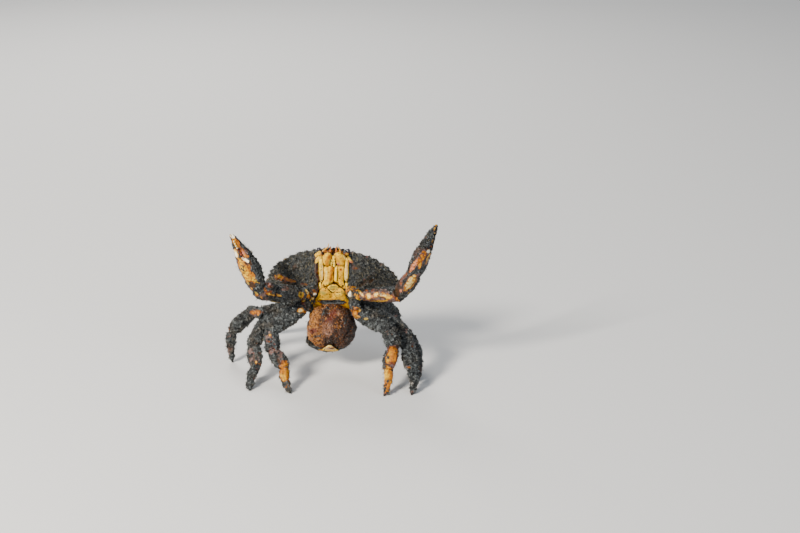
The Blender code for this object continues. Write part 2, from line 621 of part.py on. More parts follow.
def scaled(sections, factor):
    return [(share, wide * factor, thick * factor) for share, wide, thick in sections]


def make_leg(name, leg):
    """One walking leg, as four pieces from the body to the floor."""
    root = body_matrix() @ (Vector((leg.side * leg.root[0], leg.root[1], leg.root[2])) * MM)
    hip_length, merus_length, carpus_length, propodus_length, dactyl_length = (v * MM for v in leg.lengths)
    hip, merus, carpus, propodus = (heading(leg.side, *turn) for turn in leg.turns[:4])
    waist = root + hip * hip_length
    knee = waist + merus * merus_length
    wrist = knee + carpus * carpus_length
    ankle = wrist + propodus * propodus_length
    drop = math.degrees(math.asin(min(1, ankle.z / dactyl_length)))
    dactyl = heading(leg.side, leg.turns[4], -drop)
    foot = ankle + dactyl * dactyl_length
    level = merus.cross(foot - knee).normalized()
    def wide(way):
        return level.cross(way)
    pieces = [
        hip_and_merus(f"{name}_merus", root, waist, hip, merus, merus_length, wide(merus), carpus,
                      scaled(HIP_SECTIONS, leg.heavy), [w * leg.heavy for w in WAIST_SECTION],
                      scaled(MERUS_SECTIONS, leg.heavy), "limb", SIDES),
        middle_piece(f"{name}_carpus", knee, (merus, carpus, propodus), carpus_length, wide(carpus),
                     scaled(CARPUS_SECTIONS, leg.heavy), "limb", SIDES),
        middle_piece(f"{name}_propodus", wrist, (carpus, propodus, dactyl), propodus_length, wide(propodus),
                     scaled(PROPODUS_SECTIONS, leg.heavy), "limb", SIDES),
    ]
    sections = scaled(DACTYL_SECTIONS, leg.heavy)
    rings = [meeting(ankle, propodus, dactyl, wide(dactyl), sections[0][1:], SIDES, 1)]
    rings += sections_along(ankle, dactyl, dactyl_length, wide(dactyl), sections[1:], SIDES, -DACTYL_BOW * MM)
    flat = wide(dactyl) - Vector((0, 0, wide(dactyl).z))
    ground = Vector((foot.x, foot.y, 0))
    rings.append(oval(ground, dactyl - Vector((dactyl.x, dactyl.y, 0)), flat, FOOT_FLAT[0] * MM,
                      FOOT_FLAT[1] * MM, SIDES))
    pieces.append(loft(f"{name}_dactyl", rings, "claw", ankle))
    return pieces


def edged_rings(start, way, length, wide, edges, sides):
    """Rings of a claw, from (share, inner edge, outer edge, half thickness) in mm."""
    rings = []
    for share, inner, outer, thick in edges:
        half = (inner - outer) / 2 * MM
        bulge = (inner + outer) / 2 * MM
        rings.append(oval(start + way * (share * length), way, wide, half, thick * MM, sides, 2.5, bulge))
    return rings


def spine(base, way, length, radius):
    """A small cone with its root sunk in what it grows from."""
    slimmer = 0.8 * radius
    rings = [oval(base - way * (0.6 * length), way, SPINE_SQUARE, radius, radius, SPINE_SIDES, 2),
             oval(base + way * (0.25 * length), way, SPINE_SQUARE, slimmer, slimmer, SPINE_SIDES, 2),
             [base + way * length]]
    return loft("spine", rings, "claw")


def make_arm(name, arm):
    """One arm, as four pieces: merus with its hip, carpus, palm with fixed finger, and movable finger."""
    root = body_matrix() @ (Vector((arm.side * arm.root[0], arm.root[1], arm.root[2])) * MM)
    hip_length, merus_length, carpus_length, palm_length = (v * MM for v in arm.lengths)
    hip, merus, carpus, palm = (heading(arm.side, *turn) for turn in arm.turns)
    palm_wide = Vector(arm.palm_wide)
    palm_wide = (palm_wide - palm * palm.dot(palm_wide)).normalized()
    waist = root + hip * hip_length
    elbow = waist + merus * merus_length
    wrist = elbow + carpus * carpus_length
    upper = hip_and_merus(f"{name}_merus", root, waist, hip, merus, merus_length, palm_wide, carpus,
                          ARM_HIP_SECTIONS, ARM_WAIST_SECTION, ARM_MERUS_SECTIONS, "limb", ARM_SIDES)
    wrist_piece = middle_piece(f"{name}_carpus", elbow, (merus, carpus, palm), carpus_length, palm_wide,
                               ARM_CARPUS_SECTIONS, "limb", ARM_SIDES)
    base = elbow + carpus * (CARPUS_SPINE_SHARE * carpus_length) + palm_wide * CARPUS_SPINE_REACH
    way = (palm_wide + palm * CARPUS_SPINE_LEAN).normalized()
    inner_spine = spine(base, way, CARPUS_SPINE_LENGTH, CARPUS_SPINE_RADIUS)
    wrist_piece = joined(f"{name}_carpus", [wrist_piece, inner_spine])
    rings = [meeting(wrist, carpus, palm, palm_wide, (PALM_EDGES[0][1], PALM_EDGES[0][3]), ARM_SIDES, 1)]
    rings += edged_rings(wrist, palm, palm_length, palm_wide, PALM_EDGES[1:] + FIXED_FINGER_EDGES, ARM_SIDES)
    hand = loft(f"{name}_palm", rings, "claw", wrist)
    crest = [hand]
    way = (palm_wide + palm * CREST_LEAN).normalized()
    for share in CREST_SHARES:
        base = wrist + palm * (share * palm_length) + palm_wide * CREST_REACH
        crest.append(spine(base, way, CREST_LENGTH, CREST_RADIUS))
    hand = joined(f"{name}_palm", crest)
    rings = edged_rings(wrist, palm, palm_length, palm_wide, MOVABLE_FINGER_EDGES, ARM_SIDES)
    finger = loft(f"{name}_finger", rings, "claw", wrist + palm * (0.55 * palm_length))
    return [upper, wrist_piece, hand, finger]


def main():
    clear_scene()
    shell = make_shell()
    breastplate = make_breastplate()
    mouth_plates = make_mouth_plates()
    head_parts = make_head_parts()
    flap, tail_tip = make_flap()
    eggs = make_eggs()
    hips = []
    for name, leg in LEGS.items():
        hips.append(make_leg(name, leg)[0])
    for name, arm in ARMS.items():
        hips.append(make_arm(name, arm)[0])
    hollow = mouth_hollow()
    cut_clear(shell, [hollow])
    bpy.data.objects.remove(hollow)
    cut_clear(shell, [breastplate] + head_parts + hips + [flap])
    cut_clear(breastplate, hips + mouth_plates)
    cut_clear(eggs, [shell, breastplate, flap, tail_tip] + hips)
    for part in head_parts:
        cut_clear(part, mouth_plates)


main()
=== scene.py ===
# %% [markdown]
# A Dungeness crab with her eggs, caked in mud, for people who are learning Blender.
# The solids of the crab are already made and packed. This script loads them as a fixed frame, and then
# lays a fine skin over each one: shell, plates, legs, claws, eggs, mud, grit and bristles.
# Every skin is a surface worked out with numpy, so each shape is a short formula that can be read.

# %% Load the frame
import itertools
import math

import bpy
import numpy as np
from mathutils import Matrix


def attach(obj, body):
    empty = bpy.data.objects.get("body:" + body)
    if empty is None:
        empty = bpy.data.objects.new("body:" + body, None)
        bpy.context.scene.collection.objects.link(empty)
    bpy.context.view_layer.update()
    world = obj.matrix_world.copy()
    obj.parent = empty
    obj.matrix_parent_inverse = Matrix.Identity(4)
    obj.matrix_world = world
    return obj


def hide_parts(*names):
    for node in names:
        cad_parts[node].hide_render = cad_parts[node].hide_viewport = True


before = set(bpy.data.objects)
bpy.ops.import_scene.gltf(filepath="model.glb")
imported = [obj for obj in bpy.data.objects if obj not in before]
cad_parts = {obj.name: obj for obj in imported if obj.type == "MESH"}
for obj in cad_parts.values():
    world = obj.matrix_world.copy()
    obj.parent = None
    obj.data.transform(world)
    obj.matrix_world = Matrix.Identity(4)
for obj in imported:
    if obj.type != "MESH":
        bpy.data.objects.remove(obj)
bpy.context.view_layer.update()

# %% [markdown]
# Sizes are in millimetres up to the moment when a mesh is made, because a crab is easier to think of that
# way. The crab was measured in her own axes: left, forward and up through her shell. She rears up, so those
# axes are turned nose up by 65 degrees, with a little yaw and roll, about the middle of her shell.

# %% Body axes
MM = 0.001
BODY_CENTRE = np.array([3.506, 15.95, 103.0])
PITCH, YAW, ROLL = math.radians(65), math.radians(2), math.radians(5)


def body_axes():
    """The body's left, forward and up in the world, one in each row."""
    facing = Matrix.Rotation(YAW, 3, "Z") @ Matrix.Rotation(math.pi, 3, "Z")
    tilt = Matrix.Rotation(PITCH, 3, "X") @ Matrix.Rotation(-ROLL, 3, "Y")
    return np.array((facing @ tilt @ Matrix.Diagonal((-1, 1, 1))).transposed())


AXES = body_axes()


def to_world(points):
    """Body places to world places."""
    return BODY_CENTRE + np.asarray(points, float) @ AXES


def unit(vector):
    """The same direction with a length of one."""
    vector = np.asarray(vector, float)
    return vector / np.maximum(np.linalg.norm(vector, axis=-1, keepdims=True), 1e-9)


def ease(value):
    """0 below 0, 1 above 1, and a soft step between."""
    value = np.clip(value, 0, 1)
    return value * value * (3 - 2 * value)


def hump(distance, width):
    """1 at no distance, falling like a bell."""
    return np.exp(-((np.asarray(distance) / width) ** 2))


print("forward is", AXES[1].round(2), "and up through the shell is", AXES[2].round(2))

# %% [markdown]
# A measured shape has few numbers, but a skin needs many rows. A smooth curve through the measured ones
# fills them in. The same tool draws a limb's width along its length and the edge of a plate.

# %% Smooth curves


def smooth(knots, at):
    """Values at each share, from knots of (share, values...). Between two knots the values follow a cubic
    that leaves each knot along the line joining its two neighbours."""
    knots = np.asarray(knots, float)
    share, values = knots[:, 0], knots[:, 1:]
    slope = np.gradient(values, share, axis=0)
    at = np.clip(np.asarray(at, float), share[0], share[-1])
    i = np.clip(np.searchsorted(share, at, side="right") - 1, 0, len(share) - 2)
    span = (share[i + 1] - share[i])[..., None]
    t = (at - share[i])[..., None] / span
    start = (1 + 2 * t) * (1 - t) ** 2 * values[i] + t * (1 - t) ** 2 * span * slope[i]
    return start + t * t * (3 - 2 * t) * values[i + 1] - t * t * (1 - t) * span * slope[i + 1]


def closed_curve(points, count, sharp=0.0):
    """Evenly spread points on a closed curve through points. sharp mixes in straight lines between them."""
    points = np.asarray(points, float)
    wrapped = np.concatenate([points[-3:], points, points[:4]])
    along = np.concatenate([[0], np.cumsum(np.linalg.norm(np.diff(wrapped, axis=0), axis=1))])
    at = np.linspace(along[3], along[3 + len(points)], count, endpoint=False)
    curve = smooth(np.column_stack([along, wrapped]), at)
    straight = np.stack([np.interp(at, along, wrapped[:, i]) for i in range(points.shape[1])], -1)
    return curve * (1 - sharp) + straight * sharp


def from_path(points, path):
    """Distance from each point to a chain of straight lines."""
    path = np.asarray(path, float)
    best = np.full(points.shape[:-1], 1e9)
    for a, b in zip(path, path[1:]):
        run = b - a
        t = np.clip(((points - a) @ run) / (run @ run), 0, 1)
        best = np.minimum(best, np.linalg.norm(points - a - t[..., None] * run, axis=-1))
    return best


# %% [markdown]
# Nothing on a live crab is smooth. Two kinds of noise break the surfaces up. One is soft and cloudy, the
# other sets a round bump in each cell of a lattice. Both read the place in space, so neighbours match at a
# seam.

# %% Noise


def lattice(cell, seed):
    """A repeatable number from 0 to 1 for each whole-number cell, from the shuffled bits of its place."""
    mixed = cell[..., 0] * 73856093 ^ cell[..., 1] * 19349663 ^ cell[..., 2] * 83492791 ^ seed * 2654435761
    mixed = (mixed ^ (mixed >> 13)) * 1274126177 & 0xFFFFFFFF
    return ((mixed ^ (mixed >> 15)) & 0xFFFFFF) / 0xFFFFFF


def noise(points, size, seed):
    """Cloudy noise from -1 to 1: random numbers on a lattice of this size in mm, eased between."""
    place = points / size
    cell = np.floor(place).astype(np.int64)
    share = ease(place - cell)
    total = np.zeros(points.shape[:-1])
    for corner in np.ndindex(2, 2, 2):
        total += np.where(corner, share, 1 - share).prod(-1) * lattice(cell + np.array(corner), seed)
    return 2 * total - 1


def pebbles(points, size, seed):
    """Round bumps from 0 to 1, one at a random place in each lattice cell of this size in mm."""
    place = points / size
    cell = np.floor(place).astype(np.int64)
    nearest = np.full(points.shape[:-1], 9.0)
    for step in np.ndindex(3, 3, 3):
        other = cell + np.array(step) - 1
        jitter = np.stack([lattice(other, seed + k) for k in range(3)], -1)
        nearest = np.minimum(nearest, ((place - other - 0.15 - 0.7 * jitter) ** 2).sum(-1))
    return np.clip(1 - nearest / 0.3, 0, 1)


# %% [markdown]
# Most pieces are a grid of points whose rows run from one end to the other and whose columns run round.
# Each end closes in a fan of triangles. The mesh is filled with whole arrays, which is much faster than a
# loop.

# %% Meshes from grids


def grid_faces(rows, columns):
    """The quads between neighbouring points, and the fans that close both ends."""
    index = np.arange(rows * columns).reshape(rows, columns)
    turned = np.roll(index, -1, 1)
    quads = np.stack([index[:-1], turned[:-1], turned[1:], index[1:]], -1).reshape(-1, 4)
    first = np.stack([turned[0], index[0], np.full(columns, rows * columns)], -1)
    last = np.stack([index[-1], turned[-1], np.full(columns, rows * columns + 1)], -1)
    return quads, np.concatenate([first, last])


def outward(grid):
    """The way out at each grid point, and 1 or -1 for the hand of the grid."""
    normal = np.cross(np.roll(grid, -1, 1) - np.roll(grid, 1, 1), np.gradient(grid, axis=0))
    hand = 1 if (normal * (grid - grid.mean((0, 1)))).sum() > 0 else -1
    return unit(normal * hand), hand


def mesh_piece(name, points, quads, triangles, values, material, nodes=()):
    """A piece from arrays, in place, riding with the crab. values are numbers kept at each point."""
    mesh = bpy.data.meshes.new(name)
    mesh.vertices.add(len(points))
    mesh.vertices.foreach_set("co", (points * MM).astype(np.float32).ravel())
    corners = np.concatenate([quads.ravel(), triangles.ravel()]).astype(np.int32)
    starts = np.concatenate([4 * np.arange(len(quads)), 4 * len(quads) + 3 * np.arange(len(triangles))])
    mesh.loops.add(len(corners))
    mesh.loops.foreach_set("vertex_index", corners)
    mesh.polygons.add(len(starts))
    mesh.polygons.foreach_set("loop_start", starts.astype(np.int32))
    for key, value in values.items():
        layer = mesh.attributes.new(key, "FLOAT", "POINT")
        layer.data.foreach_set("value", value.astype(np.float32).ravel())
    mesh.update(calc_edges=True)
    mesh.validate()
    mesh.shade_smooth()
    mesh.materials.append(material)
    piece = bpy.data.objects.new(name, mesh)
    bpy.context.scene.collection.objects.link(piece)
    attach(piece, "root")
    if nodes:
        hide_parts(*nodes)
    return piece


def ends_closed(grid, *values):
    """Grid points as a list with the middle of each end ring added, and each value treated alike."""
    def flat(array):
        ends = [array[0].mean(0, keepdims=True), array[-1].mean(0, keepdims=True)]
        return np.concatenate([array.reshape(-1, *array.shape[2:]), *ends])
    return [flat(array) for array in (grid, *values)]


# %% [markdown]
# The colours live in two shader node groups, so that shell, legs and claws share them. The first turns one
# number, the tone, into the colours of a crab: cream, yellow, orange, brick, mauve and brown. The second is
# grey grit, which lies wherever the mud value of the mesh is high, with a ragged edge.

# %% Node helpers


def node(tree, kind, inputs=None, **settings):
    """A node with its settings, and its inputs set or linked."""
    made = tree.nodes.new(kind)
    for key, value in settings.items():
        setattr(made, key, value)
    for key, value in (inputs or {}).items():
        if isinstance(value, bpy.types.NodeSocket):
            tree.links.new(value, made.inputs[key])
        else:
            made.inputs[key].default_value = value
    return made


def arithmetic(tree, operation, a, b=0.0, c=0.0, clamp=False):
    """One Math node's result."""
    return node(tree, "ShaderNodeMath", {0: a, 1: b, 2: c}, operation=operation, use_clamp=clamp).outputs[0]


def mix_colour(tree, share, a, b, blend="MIX"):
    """Two colours mixed by a share."""
    made = node(tree, "ShaderNodeMix", {0: share, 6: a, 7: b}, data_type="RGBA", blend_type=blend)
    return made.outputs[2]


def mix_value(tree, share, a, b):
    """Two numbers mixed by a share."""
    return node(tree, "ShaderNodeMix", {0: share, 2: a, 3: b}, data_type="FLOAT").outputs[0]


def per_metre(size):
    """A texture's scale for features of this size in mm."""
    return 1 / (size * MM)


def cloud(tree, place, size, detail=2.0, rough=0.5):
    """A noise texture's value, with features of this size in mm."""
    inputs = {"Vector": place, "Scale": per_metre(size), "Detail": detail, "Roughness": rough}
    return node(tree, "ShaderNodeTexNoise", inputs).outputs["Fac"]


def stretch(tree, value, low, high, to_low=0.0, to_high=1.0):
    """Maps a number from one range to another, softly, without passing its ends."""
    inputs = {"Value": value, "From Min": low, "From Max": high, "To Min": to_low, "To Max": to_high}
    return node(tree, "ShaderNodeMapRange", inputs, interpolation_type="SMOOTHSTEP").outputs[0]


def ramp(tree, value, stops):
    """A colour ramp from (place, linear red, green, blue)."""
    made = node(tree, "ShaderNodeValToRGB", {0: value})
    points = made.color_ramp.elements
    while len(points) < len(stops):
        points.new(0.5)
    for point, (place, *colour) in zip(points, stops):
        point.position = place
        point.color = (*colour, 1)
    return made.outputs[0]


def new_group(name, inputs, outputs):
    """An empty node group with named sockets. Each is (name, kind, default)."""
    group = bpy.data.node_groups.new(name, "ShaderNodeTree")
    for label, kind, default in inputs:
        socket = group.interface.new_socket(label, in_out="INPUT", socket_type=kind)
        if default is not None:
            socket.default_value = default
    for label, kind in outputs:
        group.interface.new_socket(label, in_out="OUTPUT", socket_type=kind)
    return group, node(group, "NodeGroupInput").outputs, node(group, "NodeGroupOutput").inputs


# %% [markdown]
# Cuticle is the hard skin of a crab. Its colour is blotched at the size of a fingertip and freckled at the
# size of a grain of sand, and the surface is pitted where bristles stand. The tone picks the colour.

# %% Cuticle colours
CUTICLE_STOPS = [
    (0.00, 0.90, 0.62, 0.075), (0.16, 0.76, 0.42, 0.010), (0.32, 0.50, 0.24, 0.008),
    (0.48, 0.47, 0.150, 0.001), (0.60, 0.20, 0.062, 0.006), (0.69, 0.12, 0.024, 0.014),
    (0.77, 0.18, 0.12, 0.110), (0.88, 0.070, 0.042, 0.032), (1.00, 0.024, 0.015, 0.013),
]


def cuticle_group():
    group, given, out = new_group(
        "cuticle",
        [("Tone", "NodeSocketFloat", 0.3), ("Blotch", "NodeSocketFloat", 0.25),
         ("Pit", "NodeSocketFloat", 1.6),
         ("Freckle", "NodeSocketFloat", 0.7), ("Dots", "NodeSocketFloat", 0.0)],
        [("Colour", "NodeSocketColor"), ("Height", "NodeSocketFloat"), ("Gloss", "NodeSocketFloat")])
    place = node(group, "ShaderNodeTexCoord").outputs["Object"]
    wide = arithmetic(group, "SUBTRACT", cloud(group, place, 7, 3), 0.5)
    fine = arithmetic(group, "SUBTRACT", cloud(group, place, 0.9, 2), 0.5)
    tone = arithmetic(group, "MULTIPLY_ADD", wide, given["Blotch"], given["Tone"])
    tone = arithmetic(group, "MULTIPLY_ADD", fine, 0.16, tone, clamp=True)
    colour = ramp(group, tone, CUTICLE_STOPS)
    scale = arithmetic(group, "DIVIDE", per_metre(1), given["Pit"])
    cells = node(group, "ShaderNodeTexVoronoi", {"Vector": place, "Scale": scale},
                 feature="F1").outputs["Distance"]
    pit = stretch(group, cells, 0.20, 0.36, 1, 0)
    freckle = arithmetic(group, "MULTIPLY", stretch(group, cloud(group, place, 2.0, 4, 0.62), 0.48, 0.64),
                         given["Freckle"])
    colour = mix_colour(group, freckle, colour, (0.50, 0.36, 0.16, 1), "MULTIPLY")
    where = stretch(group, cloud(group, place, 9, 2), 0.42, 0.58, 0.10, 0.7)
    speckled = arithmetic(group, "MULTIPLY", pit,
                          arithmetic(group, "ADD", where, given["Dots"], clamp=True))
    colour = mix_colour(group, speckled, colour, (0.060, 0.022, 0.006, 1))
    group.links.new(colour, out["Colour"])
    height = arithmetic(group, "MULTIPLY_ADD", pit, -0.7, cloud(group, place, 0.6, 3))
    group.links.new(height, out["Height"])
    group.links.new(stretch(group, wide, -0.2, 0.25, 0.32, 0.55), out["Gloss"])
    return group


CUTICLE = cuticle_group()

# %% [markdown]
# Mud is wet clay with sand in it. The hollows between clods get painted shade and their tops painted
# light, so the mesh keeps how high each point stands in the mud. Single grains are lighter or darker than
# the clay, and the wet parts shine.

# %% Mud colours
MUD_STOPS = [
    (0.00, 0.003, 0.003, 0.003), (0.28, 0.014, 0.015, 0.015), (0.55, 0.046, 0.051, 0.051),
    (0.80, 0.120, 0.130, 0.128), (1.00, 0.28, 0.30, 0.30),
]


def mud_group():
    group, given, out = new_group(
        "gritty_mud",
        [("Cover", "NodeSocketFloat", 1.0), ("Light", "NodeSocketFloat", 0.0),
         ("Brown", "NodeSocketFloat", 0.6)],
        [("Mask", "NodeSocketFloat"), ("Colour", "NodeSocketColor"), ("Height", "NodeSocketFloat"),
         ("Gloss", "NodeSocketFloat")])
    place = node(group, "ShaderNodeTexCoord").outputs["Object"]
    ragged = arithmetic(group, "MULTIPLY_ADD", cloud(group, place, 1.1, 3, 0.6), 0.9, -0.45)
    spread = arithmetic(group, "ADD", given["Cover"], ragged)
    group.links.new(stretch(group, spread, 0.36, 0.56), out["Mask"])
    clods = cloud(group, place, 2.6, 5, 0.66)
    grains = node(group, "ShaderNodeTexVoronoi", {"Vector": place, "Scale": per_metre(0.7)}, feature="F1")
    speck = node(group, "ShaderNodeSeparateColor", {0: grains.outputs["Color"]}).outputs[0]
    tone = arithmetic(group, "MULTIPLY_ADD", arithmetic(group, "SUBTRACT", clods, 0.5), 1.5, 0.46)
    tone = arithmetic(group, "MULTIPLY_ADD", arithmetic(group, "SUBTRACT", speck, 0.5), 0.42, tone)
    tone = arithmetic(group, "ADD", tone, given["Light"], clamp=True)
    browner = arithmetic(group, "MULTIPLY", stretch(group, cloud(group, place, 14, 3), 0.46, 0.66),
                         given["Brown"])
    colour = mix_colour(group, browner, ramp(group, tone, MUD_STOPS), (1.25, 0.90, 0.62, 1), "MULTIPLY")
    group.links.new(colour, out["Colour"])
    height = arithmetic(group, "MULTIPLY_ADD", grains.outputs["Distance"], -0.8,
                        cloud(group, place, 0.9, 4, 0.6))
    group.links.new(height, out["Height"])
    group.links.new(stretch(group, cloud(group, place, 2.5, 2), 0.38, 0.62, 0.22, 0.8), out["Gloss"])
    return group


MUD = mud_group()

# %% [markdown]
# One material serves every hard piece. The mesh keeps a few numbers at each point: the tone, the mud and
# how high the mud stands, which paints light and shade on the clods, how thick the dark dots are, and four
# tints. Olive, blush pink, bone white and dark brown each spread with a ragged edge, like wet paint on a
# rough wall. The dark brown is stain in some places and painted shade in others: in hollows, along the
# edges where plates meet and in gaps.

# %% The hard material
# The dark brown tint is stain in some places and painted shade in others.
TINTS = {"olive": (0.30, 0.22, 0.030, 1), "blush": (0.50, 0.15, 0.10, 1), "bone": (0.92, 0.84, 0.64, 1),
         "stain": (0.045, 0.019, 0.006, 1)}
# Clod tops get painted light and the hollows between clods painted shade, by how high the mud stands.
CLOD_MIDDLE, CLOD_PAINTED_LIGHT = 0.36, 0.75  # the height that leaves mud as it is, and how fast it pales above


def attribute(tree, name):
    """A number kept at the mesh's points."""
    return node(tree, "ShaderNodeAttribute", attribute_name=name).outputs["Fac"]


def hard_material(name, blotch=0.25, pit=1.6, freckle=0.7, light=0.0, bump=0.0003, shine=0.26, brown=0.6):
    """Cuticle, tints and mud, in that order from the inside out."""
    made = bpy.data.materials.new(name)
    made.use_nodes = True
    tree = made.node_tree
    shader = tree.nodes["Principled BSDF"]
    skin = node(tree, "ShaderNodeGroup", node_tree=CUTICLE)
    skin.inputs["Blotch"].default_value = blotch
    skin.inputs["Pit"].default_value = pit
    skin.inputs["Freckle"].default_value = freckle
    tree.links.new(attribute(tree, "tone"), skin.inputs["Tone"])
    tree.links.new(attribute(tree, "dots"), skin.inputs["Dots"])
    place = node(tree, "ShaderNodeTexCoord").outputs["Object"]
    ragged = cloud(tree, place, 1.3, 3)
    colour = skin.outputs["Colour"]
    for key, tint in TINTS.items():
        spread = arithmetic(tree, "MULTIPLY_ADD", ragged, 0.7, attribute(tree, key))
        colour = mix_colour(tree, stretch(tree, spread, 0.55, 1.05), colour, tint)
    mud = node(tree, "ShaderNodeGroup", node_tree=MUD)
    # Painted light on the clod tops and painted shade in the hollows between them.
    high = arithmetic(tree, "SUBTRACT", attribute(tree, "clod"), CLOD_MIDDLE)
    tree.links.new(arithmetic(tree, "MULTIPLY_ADD", high, CLOD_PAINTED_LIGHT, light), mud.inputs["Light"])
    tree.links.new(attribute(tree, "mud"), mud.inputs["Cover"])
    mud.inputs["Brown"].default_value = brown
    mask = mud.outputs["Mask"]
    colour = mix_colour(tree, mask, colour, mud.outputs["Colour"])
    gloss = mix_value(tree, mask, skin.outputs["Gloss"], mud.outputs["Gloss"])
    height = mix_value(tree, mask, skin.outputs["Height"],
                       arithmetic(tree, "MULTIPLY", mud.outputs["Height"], 2.4))
    bumps = node(tree, "ShaderNodeBump", {"Height": height, "Strength": 1.0, "Distance": bump})
    tree.links.new(colour, shader.inputs["Base Color"])
    tree.links.new(gloss, shader.inputs["Roughness"])
    tree.links.new(bumps.outputs["Normal"], shader.inputs["Normal"])
    tree.links.new(mix_value(tree, mask, shine, 0.28), shader.inputs["Specular IOR Level"])
    return made


SHELL = hard_material("shell", blotch=0.5, pit=1.4, light=-0.05, brown=0.25)
PLATE = hard_material("pale_plates", blotch=0.36, pit=2.9, shine=0.10, brown=0.15)
LIMB = hard_material("limb", blotch=0.45, pit=1.7, freckle=0.85)
CLAW = hard_material("claw", blotch=0.55, pit=1.9, freckle=0.95, light=-0.06, shine=0.2, brown=0.4)

# %% [markdown]
# The camera stands in front and 20 degrees above. Its place is worked out here, since many spots of colour
# were measured on the photograph: how far right and down in pixels they are. The same sum that a lens does,
# sideways distance over depth, says where each point of the crab falls in the picture.

# %% Where a point falls in the picture
CAMERA_DISTANCE, CAMERA_DROP = 2.0, math.radians(20)
FOCAL_PIXELS, PICTURE = 1754, (800, 533)
CENTRE_FROM_MIDDLE = (-66, -9.5)  # pixels right and up from the shell's middle to the picture's
VIEW_RIGHT = np.array([1.0, 0, 0])
VIEW_UP = np.array([0, math.sin(CAMERA_DROP), math.cos(CAMERA_DROP)])
VIEW_FORWARD = np.array([0, math.cos(CAMERA_DROP), -math.sin(CAMERA_DROP)])
VIEW_SHIFT = (VIEW_RIGHT * CENTRE_FROM_MIDDLE[0] + VIEW_UP * CENTRE_FROM_MIDDLE[1]) / FOCAL_PIXELS
VIEW_PLACE = BODY_CENTRE * MM - CAMERA_DISTANCE * (VIEW_FORWARD + VIEW_SHIFT)


def in_picture(points):
    """Pixels right and down at which world places in mm are seen."""
    away = points * MM - VIEW_PLACE
    right, up = [away @ axis * FOCAL_PIXELS / (away @ VIEW_FORWARD) for axis in (VIEW_RIGHT, VIEW_UP)]
    return np.stack([PICTURE[0] / 2 + right, PICTURE[1] / 2 - up], -1)


print("the middle of the shell falls at", in_picture(BODY_CENTRE).round(1))

# %% [markdown]
# A spot has a kind, a middle, two half sizes in pixels and a lean in degrees to the right of upright. Its
# share falls as exp(-(a * a + b * b) ** 3), where a and b are the distances along and across it over its
# half sizes, so it is even inside and its edge is short. It colours only what faces the camera, so the far
# side of a leg keeps its own colour. One list serves every joint of a limb, by the start of their names.

# %% Spots of colour
# Kinds of spot. The one called shade is painted shade. The dark one is dark joints and bands in some places
# and painted shadow in gaps and grooves in others. On the eggs the darkest kind is painted shade, and the
# rosy kind is partly their pinkish colour and partly painted wet sheen.
KINDS = {
    "white": {"mud": -0.7, "tone": 0.02, "bone": 0.9}, "cream": {"mud": -0.6, "tone": 0.03, "bone": 0.36},
    "yellow": {"mud": -0.6, "tone": 0.15}, "gold": {"mud": -0.6, "tone": 0.27},
    "orange": {"mud": -0.6, "tone": 0.45}, "umber": {"mud": -0.5, "tone": 0.56},
    "red": {"mud": -0.5, "tone": 0.67, "blush": 0.25}, "pink": {"mud": -0.5, "tone": 0.2, "blush": 0.62},
    "tan": {"mud": -0.5, "tone": 0.32, "olive": 0.4, "bone": 0.22},
    "olive": {"mud": -0.6, "tone": 0.22, "olive": 0.7, "stain": 0.0},
    "mauve": {"mud": -0.12, "tone": 0.77}, "brown": {"mud": -0.3, "tone": 0.86},
    "mud": {"mud": 0.7, "tone": 0.95}, "dark": {"mud": -0.9, "stain": 1.0, "tone": 0.97},
    "knob": {"mud": -0.9, "tone": 0.03, "bone": 0.9, "rise": 1.2},
    "bulb": {"mud": -0.9, "tone": 0.43, "rise": 1.2}, "amber": {"mud": -0.9, "tone": 0.20, "stain": -0.4},
    "shade": {"stain": 0.62}, "fleck": {"mud": 0.9, "rise": 1.2},
    "rust": {"tone": 0.08}, "crimson": {"tone": 0.30, "blush": 0.85},
    "rose": {"tone": 0.22, "blush": 0.35, "bone": 0.4}, "egg_shade": {"tone": 0.88},
}
HOLES = 0.65  # how far the mud or the skin below comes through the holes in a spot
EVEN_KINDS = ("white", "knob", "bulb", "mud", "shade", "dark", "fleck")  # kinds without holes
SPOTS = {}  # for each piece or limb, a list of (kind, right, down, half length, half width, lean)


def add_spots(name, points, normals, paint):
    """Each number in paint is drawn towards the spot's own, by how much of the spot reaches each point."""
    spots = [spot for key, listed in SPOTS.items() if name.startswith(key) for spot in listed]
    if not spots:
        return paint
    seen = in_picture(points)
    whole = ease((0.62 + noise(points, 1.8, 16) + 0.4 * noise(points, 0.9, 17)) / 0.42)
    vary = 0.12 * noise(points, 2.6, 18) + 0.08 * noise(points, 1.1, 19)
    facing = ease((0.12 - normals @ VIEW_FORWARD) / 0.2)
    ragged = 1 + 0.35 * noise(points, 2.6, 14) + 0.15 * noise(points, 1.1, 15)
    for kind, right, down, length, width, lean in spots:
        across, below = np.moveaxis(seen - (right, down), -1, 0)
        turn = math.radians(lean)
        sine, cosine = math.sin(turn), math.cos(turn)
        along, aside = across * sine - below * cosine, across * cosine + below * sine
        share = np.exp(-((((along / length) ** 2 + (aside / width) ** 2) * ragged) ** 3)) * facing
        if kind not in EVEN_KINDS:
            share = share * (1 - HOLES * (1 - whole))
        for key, value in KINDS[kind].items():
            value = value + vary * (key == "tone") * (kind not in EVEN_KINDS)
            paint[key] = paint.get(key, 0) * (1 - share) + value * share
    return paint


# %% [markdown]
# Every hard piece goes through the same three steps: relief moves the clean skin in or out, mud settles on
# it in patches, and the thickness of the mud moves it out again. What mud covers is kept, so that loose
# grit can be scattered over the same places later.

# %% A skin with mud on it
surfaces = {}


def mud_cover(points, level):
    """How far mud hides each point, 0 to 1. level shifts it all."""
    patch = 0.5 * noise(points, 8, 11) + 0.35 * noise(points, 2.6, 12) + 0.2 * noise(points, 1.1, 13)
    return ease((0.5 + level + patch - 0.28) / 0.44)


